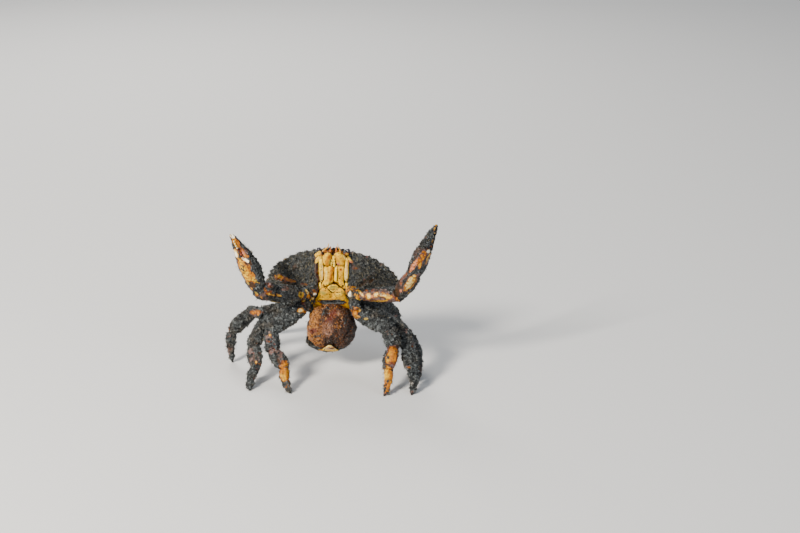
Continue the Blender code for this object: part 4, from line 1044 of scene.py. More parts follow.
def make_breastplate():
    grid, shares = plate_grid(BREAST_OUTLINE, 0.35, 5.5, 90, 300, round_off=9, sharp=0.3)
    x, y, high = np.moveaxis(grid, -1, 0)
    crest = (shares < 1.5) * (1 - shares**10).clip(0)
    folded = mirrored_x(grid[..., :2])
    crescent = from_path(grid[..., :2], CRESCENT)
    lens = ease((3.7 - 0.13 * np.abs(x) - crescent) / 1.2) * (np.abs(x) < 15.5)
    grooves = sum(hump(y - at + 0.25 * folded[..., 0], 1.0) * (folded[..., 0] > start)
                  for at, start in LEG_GROOVES)
    relief = (-2.9 * lens + 1.3 * hump(np.hypot(folded[..., 0] - HILL[0], y - HILL[1]), 6.0)
              - 0.8 * hump(x, 1.8) * (y > -7) - 0.6 * grooves)
    mouth_rise = MOUTH_SLOPE * np.maximum(y - MOUTH_Y, 0)
    front_rise = 0.16 * np.maximum(y + 12, 0) * high / 5.5
    body = np.stack([x, y, BELLY_Z - high - crest * relief + mouth_rise + front_rise], -1)
    world = to_world(body)
    rough = 0.09 * pebbles(world, 1.1, 51) + 0.16 * noise(world, 4, 52)
    corner = ease((-y - 9.5) / 2.5) * ease((folded[..., 0] - 9 + 0.3 * (y + 14)) / 3)
    behind = 1.1 * ease((-y - 15.5) / 5) * (1 - 0.8 * corner)
    dirty = 0.85 * lens + behind + 0.5 * ease((-y - 12) / 4) * (1 - corner)
    seam = ease((shares - 0.965) / 0.03) * (shares < 1.5)
    tone = 0.20 + 0.22 * corner + 0.06 * hump(np.hypot(folded[..., 0] - 9, y + 2), 5)
    tone = tone - 0.12 * hump(y + 8.5, 1.6)
    # The dark brown along the rim and in the crescent is painted shade; the scattered brown flecks are
    # stain.
    return skin("breastplate_skin", world, PLATE, "belly", ["breastplate"], relief=rough, mud=-0.50 + dirty,
                depth=0.35, tone=tone + 0.08 * noise(world, 5, 53), grit=0.4, dots=0.9 * ease((y + 8) / 6),
                stain=0.9 * seam + 0.7 * lens + 0.22 * (noise(world, 1.6, 54) > 0.45))


make_shield()
breastplate = make_breastplate()
print("the breastplate has", len(breastplate.data.polygons), "faces")

# %% [markdown]
# A leg is a row of tubes that meet at hinges. Each tube here has three parts: a round head that sits in the
# tube before it, a body whose width and thickness follow the measured ones, and a rim that turns in to a
# cup for the next head. Near a hinge the rings lean to the plane midway between the two tubes, as the real
# rims do.

# %% One function for every joint of a limb
HEAD_ROWS, CUP_ROWS = 7, 7


def joint_grid(start, way, length, wide, sections, before, after, rows, columns, bow=0.0, power=2.3,
               cup=True):
    """Rings of one tube in world mm, by (share, half width, half thickness). Each ring is a rounded
    rectangle: cosine and sine of the turn, each raised to 2 / power."""
    way, wide = unit(way), unit(wide - way * (np.asarray(wide) @ way))
    side = np.cross(way, wide)
    turn = 2 * math.pi * np.arange(columns) / columns
    cosine = np.sign(np.cos(turn)) * np.abs(np.cos(turn)) ** (2 / power)
    sine = np.sign(np.sin(turn)) * np.abs(np.sin(turn)) ** (2 / power)
    spread = np.linspace(0, 1, rows)
    shares = 0.6 * spread + 0.4 * (0.5 - 0.5 * np.cos(math.pi * spread))
    head = np.linspace(0.12, 1, HEAD_ROWS, endpoint=False) * math.pi / 2
    shares = np.concatenate([np.zeros(HEAD_ROWS), shares])
    size = np.concatenate([0.9 * np.sin(head), np.ones(rows)])
    slide = np.concatenate([-1.7 * np.cos(head), np.full(rows, 0.12)])
    if cup:
        shares = np.concatenate([shares, np.ones(CUP_ROWS)])
        size = np.concatenate([size, [0.985, 0.95, 0.92, 0.9, 0.86, 0.6, 0.08]])
        slide = np.concatenate([slide, [0.02, -0.2, -0.8, -2.2, -3.1, -3.4, -3.5]])
    half = smooth(sections, shares) * size[:, None]
    across = half[:, :1] * cosine + bow * 4 * (shares * (1 - shares))[:, None]
    through = half[:, 1:] * sine
    offset = across[..., None] * wide + through[..., None] * side
    lean = np.zeros(offset.shape[:2])
    for neighbour, weight in ((before, np.clip(1 - shares / 0.3, 0, 1)),
                              (after, np.clip((shares - 0.7) / 0.3, 0, 1))):
        plane = unit(unit(neighbour) + way)
        lean -= weight[:, None] ** 1.5 * (offset @ plane) / (way @ plane)
    centre = start + way * (shares * length + slide)[:, None]
    grid = centre[:, None] + offset + lean[..., None] * way
    return grid, shares[:, None] * np.ones(columns), np.ones(len(shares))[:, None] * turn


def along_edge(turn, where, width):
    """How near a point is to a line along the limb at this turn."""
    return hump(np.angle(np.exp(1j * (turn - where))), width)


# %% [markdown]
# The legs are set from the same few numbers as the solids: where each leaves the body, the length of its
# joints, and the way that each joint points. The finish of a leg is written beside it: how muddy each joint
# is and its tone, since in the photograph some joints are wiped clean and shine orange or mauve.

# %% Places of the legs
LEG_LENGTHS = {1: (19, 44, 22, 28, 34), 2: (19, 46, 22, 28, 36), 3: (18, 43, 20, 28, 35),
               4: (16, 34, 17, 24, 30)}
LEG_ROOTS = {1: (24, -12, -21), 2: (25.5, -21, -19.5), 3: (25, -30, -17.5), 4: (22, -38, -15)}
LEGS = {  # side, number, lengths if not the usual ones, turns in degrees, and size
    "right_leg_1": (-1, 1, None, ((53, -36), (28, -24), (105, -69), (124, -29), 108), 1),
    "right_leg_2": (-1, 2, None, ((23, -28), (12, -24), (60, -45), (102, -36), 80), 1),
    "right_leg_3": (-1, 3, (18, 43, 20, 32, 37), ((-12, -13), (16, -6), (-57, -10), (10, -44), 90), 0.98),
    "right_leg_4": (-1, 4, None, ((-45, -8), (-42, -10), (-62, -30), (-60, -55), -50), 0.8),
    "left_leg_1": (1, 1, None, ((79, -42), (30, -14), (54, -66), (105, -40), 100), 1),
    "left_leg_2": (1, 2, None, ((40, -27), (20, -20), (60, -50), (80, -31), 92), 1),
    "left_leg_3": (1, 3, None, ((-15, -17), (2, -35), (46, -24), (75, -17), 92), 0.94),
    "left_leg_4": (1, 4, None, ((-45, -8), (-42, -10), (-62, -30), (-60, -55), -50), 0.8),
}
# Half width and half thickness of each joint at shares of its length
COXA = [(0, 5.0, 4.6), (0.4, 5.6, 5.0), (0.8, 5.3, 4.8), (1, 4.8, 4.4)]
ISCHIUM = [(0, 4.2, 3.8), (0.3, 4.9, 4.3), (0.75, 4.8, 4.2), (1, 4.3, 3.8)]
MERUS = [(0, 3.8, 3.3), (0.13, 5.5, 4.2), (0.35, 7.2, 4.8), (0.66, 7.6, 4.9), (0.87, 6.8, 4.7),
         (1, 5.3, 4.3)]
CARPUS = [(0, 4.1, 3.7), (0.12, 5.1, 4.4), (0.3, 6.2, 4.9), (0.6, 6.9, 5.2), (0.84, 6.4, 4.8),
          (1, 5.0, 4.0)]
PROPODUS = [(0, 3.9, 3.3), (0.1, 5.2, 3.8), (0.24, 6.4, 4.1), (0.55, 7.0, 4.0), (0.83, 6.1, 3.6),
            (1, 4.6, 3.2)]
DACTYL = [(0, 3.4, 2.5), (0.08, 4.2, 2.9), (0.2, 4.5, 3.0), (0.42, 3.8, 2.6), (0.7, 2.6, 1.9),
          (0.9, 1.5, 1.2), (0.985, 0.85, 0.8)]
DACTYL_BOW = -2.2
LOWEST_TIP = 0.35  # mm above the floor, room for the mud below a tip
LEG_COLUMNS = 84
# Mud and tone for coxa, ischium, merus, carpus, propodus and dactyl
LEG_FINISH = {
    "right_leg_1": ((0.12, 0.60), (0.15, 0.70), (0.46, 0.90), (0.30, 0.88), (0.16, 0.80), (0.05, 0.60)),
    "right_leg_2": ((0.20, 0.50), (0.20, 0.60), (0.46, 0.90), (0.30, 0.84), (0.15, 0.82), (0.22, 0.70)),
    "right_leg_3": ((0.30, 0.50), (0.30, 0.55), (0.30, 0.72), (0.02, 0.84), (0.42, 0.84), (0.36, 0.80)),
    "right_leg_4": ((0.30, 0.70), (0.30, 0.80), (0.46, 0.90), (0.40, 0.85), (0.36, 0.84), (0.20, 0.70)),
    "left_leg_1": ((0.08, 0.40), (0.10, 0.50), (0.46, 0.90), (0.30, 0.86), (0.08, 0.78), (-0.10, 0.45)),
    "left_leg_2": ((0.20, 0.50), (0.20, 0.60), (0.46, 0.90), (0.28, 0.86), (0.44, 0.84), (0.30, 0.72)),
    "left_leg_3": ((0.30, 0.60), (0.30, 0.70), (0.42, 0.95), (0.30, 0.90), (0.30, 1.00), (0.20, 0.95)),
    "left_leg_4": ((0.30, 0.70), (0.30, 0.80), (0.46, 0.90), (0.40, 0.85), (0.36, 0.84), (0.20, 0.70)),
}
SPOTS.update({
    "right_leg_1": [
        ("mauve", 262, 318, 6, 3, 60), ("mauve", 271, 345, 13, 4.2, -8),
        ("yellow", 270, 335, 1.2, 1.0, 0), ("orange", 285.5, 366, 6.5, 4.8, -28),
        ("orange", 286, 374, 7.5, 5.6, -28), ("dark", 279, 361.5, 1.4, 3.2, 60),
        ("gold", 288.5, 366, 3, 2, -28), ("gold", 283.5, 378, 4.5, 2.6, -28),
        ("umber", 290.5, 371, 3, 1.3, -25), ("umber", 281, 369, 5, 1.0, -30),
        ("mud", 277.5, 376, 4, 2, -30), ("cream", 306.8, 291.8, 3.4, 1.4, -38),
        ("bulb", 308.4, 296.4, 2.4, 2.2, 0), ("cream", 312.2, 299.0, 4.4, 1.2, 42),
        ("tan", 300.4, 311, 2.8, 4.0, 0), ("cream", 300.0, 310.6, 2.0, 2.8, 0),
        ("shade", 301.5, 312.6, 0.8, 2.0, 0), ("umber", 305, 312, 1.8, 1.6, 0),
        ("cream", 301, 300.6, 1.2, 4.8, 6), ("olive", 311.5, 304, 2.4, 1.2, 30)],
    "right_leg_2": [("mauve", 251, 354.5, 6, 3, 10), ("yellow", 256, 362, 1.3, 1.1, 0)],
    "right_leg_3": [("umber", 255.5, 312.5, 2.8, 6, 0), ("orange", 254.5, 312.3, 2.0, 4.4, 0),
                    ("yellow", 228, 331, 1.4, 1.2, 0)],
    "left_leg_1": [
        ("umber", 393.5, 354, 9.5, 6.5, 12), ("orange", 391.5, 356, 7.5, 4.6, 12),
        ("gold", 388.5, 358, 6, 2.2, 15), ("dark", 399, 346.5, 1.4, 4, 20), ("gold", 387, 371, 8, 3.8, 8),
        ("yellow", 385.6, 374.5, 4.5, 1.4, 8), ("umber", 389.4, 371, 4, 1.1, 10),
        ("dark", 387.6, 364.6, 0.9, 3.4, 10), ("mauve", 409, 341, 4, 5, 40),
        ("tan", 356.4, 316.4, 2.2, 4.2, 10), ("bulb", 355.8, 313.4, 3.0, 2.5, 20),
        ("cream", 360.2, 309.2, 3.2, 1.4, 35), ("umber", 355.2, 310.8, 1.0, 2.0, 0),
        ("olive", 366, 319, 1.2, 2.6, 0), ("shade", 358, 317.6, 0.7, 3, 10)],
    "left_leg_2": [("olive", 366, 333, 3, 2, 0), ("mauve", 405, 330, 3, 4, 30)],
})


def heading(side, azimuth, elevation):
    """A direction out to a side, turned to the front by azimuth and up by elevation, in degrees."""
    turn, rise = math.radians(azimuth), math.radians(elevation)
    return np.array([side * math.cos(rise) * math.cos(turn), -math.cos(rise) * math.sin(turn),
                     math.sin(rise)])


def scaled(sections, factor):
    return [(share, wide * factor, thick * factor) for share, wide, thick in sections]


def leg_relief(word, shares, turn, world):
    """Ridges along the leg: a keel above, a lesser one below, a groove on each broad face, and granules."""
    upper, lower = along_edge(turn, math.pi, 0.3), along_edge(turn, 0, 0.3)
    faces = along_edge(turn, math.pi / 2, 0.22) + along_edge(turn, -math.pi / 2, 0.22)
    body = ease(shares / 0.15) * ease((1 - shares) / 0.1)
    relief = body * (0.7 * upper + 0.35 * lower - 0.35 * faces)
    if word in ("merus", "carpus"):
        relief = relief + 0.6 * hump(shares - 0.965, 0.02) + body * upper * 0.45 * pebbles(world, 2.4, 61)
    if word in ("propodus", "dactyl"):
        relief = relief - 0.25 * body * (along_edge(turn, 2.4, 0.16) + along_edge(turn, -2.4, 0.16))
    return relief + 0.12 * pebbles(world, 1.4, 62) + 0.16 * noise(world, 4.5, 63)


def make_leg(name):
    side, number, lengths, turns, size = LEGS[name]
    lengths = lengths or LEG_LENGTHS[number]
    x, y, z = LEG_ROOTS[number]
    root = to_world((side * x, y, z))
    ways = [heading(side, *turn) for turn in turns[:4]]
    places = [root]
    for way, length in zip(ways, lengths):
        places.append(places[-1] + way * length)
    drop = math.degrees(math.asin(min(1, places[-1][2] / lengths[4])))
    ways.append(heading(side, turns[4], -drop))
    foot = places[-1] + ways[4] * lengths[4]
    level = unit(np.cross(ways[1], foot - places[2]))
    hip, waist = places[0], places[1]
    middle = hip + ways[0] * lengths[0] * 0.52
    spans = [
        ("coxa", hip, middle, ways[0], ways[0], ways[0], COXA, 50),
        ("ischium", middle, waist, ways[0], ways[0], ways[1], ISCHIUM, 44),
        ("merus", waist, places[2], ways[1], ways[0], ways[2], MERUS, 110),
        ("carpus", places[2], places[3], ways[2], ways[1], ways[3], CARPUS, 64),
        ("propodus", places[3], places[4], ways[3], ways[2], ways[4], PROPODUS, 76),
        ("dactyl", places[4], foot, ways[4], ways[3], ways[4], DACTYL, 90),
    ]
    for (word, start, end, way, before, after, sections, rows), (mud, tone) in zip(spans, LEG_FINISH[name]):
        length = np.linalg.norm(end - start)
        bow = DACTYL_BOW if word == "dactyl" else 0
        grid, shares, turn = joint_grid(start, way, length, np.cross(level, way), scaled(sections, size),
                                        before, after, rows, LEG_COLUMNS, bow=bow, cup=word != "dactyl")
        relief = leg_relief(word, shares, turn, grid)
        tip = ease((shares - 0.86) / 0.1) if word == "dactyl" else 0 * shares
        rim = hump(shares - 1, 0.05) if word != "dactyl" else 0 * shares
        if word == "dactyl":
            relief = relief * (1 - tip)
            grid[..., 2] = np.maximum(grid[..., 2], LOWEST_TIP)
        shown_tone = tone + 0.55 * tip - 0.30 * rim * (tone > 0.5) - 0.2 * hump(shares, 0.04) * (tone > 0.5)
        mud_level = mud - 0.10 * rim - 0.25 * tip + 0.1 * along_edge(turn, math.pi, 0.8)
        nodes = [f"{name}_{word}"] if word not in ("coxa", "ischium") else []
        slot = "claw" if word == "dactyl" else "limb"
        swell = 1.1 * ease(0.5 + noise(grid, 9, 64)) * (1 - tip) * (word != "dactyl")
        relief = relief + swell * ease((mud - 0.1) / 0.3)
        skin(f"{name}_{word}_skin", grid, LIMB, slot, nodes, relief=relief, mud=mud_level,
             lean=(0, 0, 0.06), depth=1.35 - 1.0 * tip, lump=1.25, tone=shown_tone)
        edges = (along_edge(turn, math.pi, 0.4) + along_edge(turn, 0, 0.4)) * ease(shares / 0.1)
        if word not in ("coxa", "ischium"):
            plant(f"{name}_{word}_skin", LEG_BRISTLES, edges, way, (1.4, 4.2))


for name in LEGS:
    make_leg(name)

# %% [markdown]
# The claws are limbs of the same kind up to the wrist. The hand widens and then narrows to a fixed finger,
# and a second finger is hinged on its inner side. Both fingers have round white teeth where they meet and
# grooves along their backs. The hand's inner edge, its outer edge and its thickness are measured at shares
# of its length.

# %% Places of the claws
ARM_ROOT = (19.5, 1, -22)
ARMS = {  # side, lengths, turns in degrees, and the way across the hand from the fixed finger to the other
    "right_claw": (-1, (20, 33.5, 21, 70), ((36, -5), (24, 8), (41, 30), (-4, 65.5)), (0.93, 0.05, 0.35)),
    "left_claw": (1, (18, 46.5, 30, 61.5), ((43, -5), (21, 9), (20, 56), (-31.5, 61)), (-0.55, -0.8, 0.15)),
}
ARM_COXA = [(0, 6.4, 5.8), (0.4, 7.0, 6.2), (0.8, 6.6, 6.0), (1, 6.0, 5.4)]
ARM_ISCHIUM = [(0, 5.3, 4.8), (0.35, 6.3, 5.7), (0.8, 6.1, 5.5), (1, 5.4, 5.0)]
ARM_MERUS = [(0, 4.9, 4.5), (0.12, 7.2, 6.0), (0.4, 9.6, 7.4), (0.76, 11.0, 8.2), (0.93, 9.8, 7.8),
             (1, 8.2, 7.0)]
ARM_CARPUS = [(0, 7.0, 6.0), (0.1, 8.4, 7.2), (0.3, 10.0, 8.2), (0.64, 11.2, 8.8), (0.88, 9.8, 7.9),
              (1, 8.0, 6.8)]
# share, inner edge, outer edge (mm from the middle line of the claw) and half thickness
HAND = [
    (0, 6.6, -6.6, 6.0), (0.05, 8.4, -8.0, 6.8), (0.11, 9.7, -9.1, 7.3), (0.26, 11.2, -9.8, 7.8),
    (0.42, 11.5, -9.4, 7.5), (0.5, 10.9, -8.8, 6.7), (0.53, 9.6, -8.4, 6.0), (0.552, 2.6, -8.2, 5.4),
    (0.6, 0.7, -7.6, 4.8), (0.7, 0.3, -6.3, 3.8), (0.79, 0.0, -5.0, 3.0), (0.88, -0.4, -3.8, 2.1),
    (0.95, -0.9, -2.9, 1.4), (0.985, -1.2, -2.4, 0.9), (1, -1.5, -2.0, 0.4),
]
FINGER = [
    (0.549, 9.2, 2.9, 3.6), (0.562, 10.2, 2.1, 4.7), (0.6, 10.0, 1.7, 4.8), (0.69, 7.8, 1.6, 4.0),
    (0.78, 5.6, 1.4, 3.1), (0.87, 3.7, 0.9, 2.2), (0.94, 2.2, 0.2, 1.4), (0.985, 0.9, -0.4, 0.8),
    (1, 0.3, -0.6, 0.4),
]
# The teeth where the fingers meet, as a share of the hand's length and a height in mm
TEETH = [(0.60, 0.9), (0.645, 1.2), (0.695, 1.3), (0.745, 1.2), (0.79, 1.0), (0.835, 0.9), (0.875, 0.8),
         (0.915, 0.6), (0.95, 0.5)]
CREST_KNOBS = (0.14, 0.22, 0.3, 0.38, 0.46)  # on the edge below the second finger, at these shares
HAND_KEELS = (1.1, 1.75, 2.35)  # how far round the hand each keel runs, in radians
ARM_COLUMNS = 110
# Mud, the way that has more of it, and tone, for each piece of an arm
ARM_FINISH = {
    "right_claw": {
        "coxa": (0.15, (0, 0, 0.1), 0.6), "ischium": (0.12, (0, 0, 0.2), 0.6),
        "merus": (0.36, (0.1, 0, 0.15), 0.88), "carpus": (0.20, (0.3, 0, 0.1), 0.86),
        "palm": (0.30, (0.35, 0.15, 0), 0.86), "finger": (0.10, (0.4, 0.2, 0.1), 0.60),
    },
    "left_claw": {
        "coxa": (0.05, (0, 0, 0.1), 0.40), "ischium": (-0.02, (0, 0, 0.3), 0.36),
        "merus": (0.10, (0.15, 0.2, 0.4), 0.80), "carpus": (0.30, (0.3, 0.2, 0.1), 0.93),
        "palm": (0.36, (0.3, 0.3, 0), 0.93), "finger": (0.26, (0.1, 0.2, 0), 0.90),
    },
}
SPOTS.update({
    "right_claw": [
        ("mud", 256, 262, 13, 4.2, -28), ("gold", 235.4, 243.5, 7, 2.4, -22),
        ("umber", 238.6, 244.2, 6, 1.7, -28), ("white", 232.7, 235.8, 3.0, 2.4, -5),
        ("white", 233.7, 241.2, 0.7, 0.6, 0), ("white", 234.8, 243.7, 0.7, 0.6, 0),
        ("white", 235.8, 246.1, 0.8, 0.6, 0), ("white", 236.9, 248.2, 0.7, 0.6, 0),
        ("cream", 236.2, 253.4, 5.4, 2.0, -18), ("pink", 242.2, 253.6, 3.8, 2.8, -20),
        ("red", 239.7, 250.0, 2.3, 2.4, 20), ("white", 236.0, 254.5, 3.0, 1.0, -18),
        ("mauve", 246.5, 252, 4, 1.6, -32), ("orange", 247.6, 267, 6, 3.6, -15),
        # The two thin yellow strips in the next three lines lie along the left edge of the hand and are
        # painted highlight.
        ("gold", 243.8, 267.6, 10, 5.0, -20), ("yellow", 241.2, 264.5, 7, 1.3, -20),
        ("umber", 247.8, 267, 5.0, 1.2, -18), ("gold", 250.2, 276.6, 8.5, 4.6, -36),
        ("yellow", 247.0, 278.6, 6, 1.5, -35), ("orange", 252.2, 274, 4, 1.6, -30),
        ("shade", 243.4, 266.4, 0.6, 0.6, 0), ("shade", 245.5, 272.8, 0.6, 0.6, 0),
        ("shade", 251, 280, 0.6, 0.6, 0), ("white", 244.7, 259.2, 1.4, 3.4, 28),
        ("white", 247.9, 261.5, 1.4, 1.4, 0), ("dark", 246.3, 263.5, 1.0, 2.2, 30),
        ("dark", 250.8, 263, 3.4, 0.9, -20), ("dark", 251.5, 284.5, 2.4, 4.6, 35),
        ("umber", 248.4, 282.2, 1.6, 2.4, 40), ("olive", 256.6, 281.6, 0.9, 3.6, 25),
        ("olive", 247.6, 282.6, 3.2, 0.9, -35), ("tan", 251.6, 288.6, 1.6, 0.9, -38),
        ("olive", 256.4, 292.8, 2.6, 1.0, -42), ("tan", 261.4, 297.6, 1.6, 0.9, -50),
        ("umber", 257, 295, 1.2, 1.4, 0), ("umber", 265.2, 290.2, 3.0, 1.6, -30),
        ("red", 269.6, 291.8, 3.0, 1.3, 85), ("tan", 274.5, 294.8, 9, 1.3, 99),
        ("yellow", 270, 294.4, 3.6, 0.9, 99), ("mauve", 271, 284, 7, 4.4, 80),
        ("brown", 286, 288, 6, 2.6, 80), ("olive", 277, 302.4, 9, 1.1, 100),
        ("tan", 288, 303, 3.5, 1.2, 90), ("olive", 300.8, 294.2, 3.2, 2.9, 0),
        ("shade", 300.6, 294.5, 1.3, 1.2, 0), ("cream", 306.8, 291.8, 3.4, 1.4, -38),
        ("cream", 312.2, 299.0, 4.4, 1.2, 42), ("bulb", 308.4, 296.4, 2.4, 2.2, 0),
        ("cream", 307.8, 297.8, 1.2, 1.4, 0), ("umber", 310.6, 293.2, 1.8, 1.0, -20),
        ("knob", 314.7, 294.2, 1.9, 1.8, 0), ("cream", 301, 300.6, 1.2, 4.8, 6),
        ("tan", 296.5, 301.5, 1.6, 3, 0), ("mud", 293, 295, 4, 3.4, 0)],
    "left_claw": [
        ("brown", 434.8, 230, 4, 1.3, 12), ("tan", 434.6, 229, 2.0, 0.8, 12),
        ("white", 433.1, 236.5, 1.3, 0.8, 20), ("cream", 434.6, 233, 0.9, 0.7, 0),
        ("tan", 432.2, 241.4, 2.2, 0.9, 20), ("olive", 433.6, 244, 1.8, 0.8, 20),
        ("umber", 431, 246.4, 1.2, 1.6, 0), ("red", 429.0, 249.0, 1.3, 2.6, 0),
        ("white", 428.3, 251.3, 1.7, 2.0, -38), ("tan", 427.6, 259, 6.5, 1.8, 24),
        ("brown", 428.8, 261, 4.5, 1.4, 24), ("orange", 422.4, 256.6, 7.4, 3.4, 28),
        # The gold on the next line is painted highlight on the dark edge of the hand.
        ("umber", 424.0, 256.0, 4.0, 1.1, 28), ("gold", 419.8, 265.8, 4.4, 1.6, 18),
        ("pink", 414.0, 265.4, 7.6, 2.2, 32), ("umber", 417.6, 261.5, 4.2, 1.0, 28),
        ("dark", 424.6, 262.6, 4.5, 1.0, 22), ("mud", 414.8, 272.8, 2.4, 6, -28),
        ("tan", 411, 282.4, 9.6, 4.2, 38), ("cream", 410.2, 282.0, 8.8, 3.0, 38),
        # The first cream spot on the next line is painted highlight in the middle of the wrist.
        ("cream", 410, 284.6, 3.8, 1.8, 38), ("shade", 412.8, 284.2, 5, 0.6, 38),
        ("shade", 409.2, 280.6, 4, 0.5, 38), ("yellow", 406.8, 286.0, 2.6, 1.2, 38),
        ("brown", 418.6, 276.6, 4.2, 2.8, 30), ("umber", 404.6, 275.6, 3.6, 1.6, 38),
        ("red", 401.2, 281.4, 4.6, 1.3, 8), ("red", 406, 270.4, 1.8, 1.4, 20),
        ("pink", 400.6, 290.8, 1.7, 1.4, 30), ("olive", 410.0, 292.6, 1.2, 2.8, -20),
        ("olive", 416, 287, 3.0, 1.0, 38), ("dark", 396.5, 293, 4.5, 3.2, 0),
        ("brown", 381, 291.0, 2.0, 9, 8), ("tan", 383.5, 295.2, 2.8, 8, 10),
        ("cream", 376, 295.0, 3.0, 2.4, 8), ("cream", 383.2, 295.4, 1.2, 3.2, 10),
        ("brown", 380.2, 293.6, 1.6, 2.2, 20), ("shade", 381.5, 297.4, 0.7, 4.5, 8),
        ("brown", 376.6, 298.2, 0.8, 2.4, 0), ("yellow", 388.6, 297.8, 1.6, 4.2, -14),
        # The long tan band on the next line is painted highlight along the lower edge of the arm near the
        # body.
        ("tan", 376.5, 301.6, 1.7, 8.5, -1), ("yellow", 385, 300.6, 0.7, 4, -12),
        ("dark", 373, 299.9, 0.5, 4.5, 0), ("red", 373.2, 291.2, 1.4, 1.9, 0),
        ("cream", 368.7, 296.2, 3.5, 3.1, 0), ("red", 366.6, 290.6, 1.1, 2.2, 20),
        ("pink", 371.8, 296.4, 1.6, 1.6, 0), ("shade", 371.0, 294.4, 0.8, 0.9, 0),
        ("shade", 366.9, 298.2, 0.8, 0.8, 0), ("shade", 371.9, 298.8, 0.8, 1.0, 0),
        ("cream", 361.4, 294.0, 4.4, 1.5, -42), ("tan", 361.5, 301.0, 0.9, 4.4, -4),
        ("dark", 364.6, 298.6, 1.4, 0.8, 0), ("bulb", 358.1, 296.9, 2.3, 1.9, 8),
        ("cream", 357.3, 298.6, 0.9, 1.0, 0), ("tan", 352.8, 301.4, 2.0, 1.8, 0),
        ("umber", 354.2, 290.4, 1.4, 3.4, 10), ("knob", 350.5, 294.3, 2.5, 2.0, -8)],
})


def hand_grid(start, way, length, wide, knots, before, rows, columns, power=2.5):
    """Rings of a hand or finger, each from an inner to an outer edge, with its middle halfway between."""
    way, wide = unit(way), unit(wide - way * (np.asarray(wide) @ way))
    side = np.cross(way, wide)
    turn = 2 * math.pi * np.arange(columns) / columns
    cosine = np.sign(np.cos(turn)) * np.abs(np.cos(turn)) ** (2 / power)
    sine = np.sign(np.sin(turn)) * np.abs(np.sin(turn)) ** (2 / power)
    shares = np.linspace(knots[0][0], knots[-1][0], rows)
    head = np.linspace(0.12, 1, HEAD_ROWS, endpoint=False) * math.pi / 2
    shares = np.concatenate([np.full(HEAD_ROWS, knots[0][0]), shares])
    size = np.concatenate([0.92 * np.sin(head), np.ones(rows)])[:, None]
    slide = np.concatenate([-2.0 * np.cos(head), np.zeros(rows)])
    inner, outer, thick = np.moveaxis(smooth(knots, shares), -1, 0)
    across = (inner + outer)[:, None] / 2 + size * (inner - outer)[:, None] / 2 * cosine
    offset = across[..., None] * wide + (size * thick[:, None] * sine)[..., None] * side
    plane = unit(unit(before) + way)
    weight = np.clip(1 - (shares - knots[0][0]) / 0.12, 0, 1)[:, None] ** 1.5
    lean = -weight * (offset @ plane) / (way @ plane)
    centre = start + way * (shares * length + slide)[:, None]
    grid = centre[:, None] + offset + lean[..., None] * way
    return grid, shares[:, None] * np.ones(columns), np.ones(len(shares))[:, None] * turn


def arm_relief(word, shares, turn, world):
    """Keels along the hand, teeth on the fingers, thorns on the upper edges, and granules all over."""
    granules = 0.16 * pebbles(world, 1.6, 71) + 0.2 * noise(world, 5, 72)
    if word in ("palm", "finger"):
        inner = 0 if word == "palm" else math.pi
        keels = sum(along_edge(turn, sign * where, 0.13) for where in HAND_KEELS for sign in (1, -1))
        meet = along_edge(turn, inner, 0.55)
        teeth = sum(height * hump(shares - share, 0.017) for share, height in TEETH) * meet
        knobs = sum(hump(shares - share, 0.014) for share in CREST_KNOBS)
        crest = along_edge(turn, 0, 0.35) * 0.8 * knobs if word == "palm" else 0
        both_sides = along_edge(turn, 1.9, 0.14) + along_edge(turn, -1.9, 0.14)
        grooves = -0.35 * ease((shares - 0.58) / 0.05) * both_sides
        return granules + 0.35 * keels * ease((0.97 - shares) / 0.1) + teeth + crest + grooves
    thorn = 3.2 * hump(shares - 0.74, 0.06) * along_edge(turn, 0, 0.2) if word == "carpus" else 0
    keel = 0.5 * along_edge(turn, 0.5, 0.2) + 0.5 * along_edge(turn, 2.6, 0.2)
    rim = 0.7 * hump(shares - 0.965, 0.02)
    return granules + thorn + keel * ease(shares / 0.2) * ease((1 - shares) / 0.1) + rim


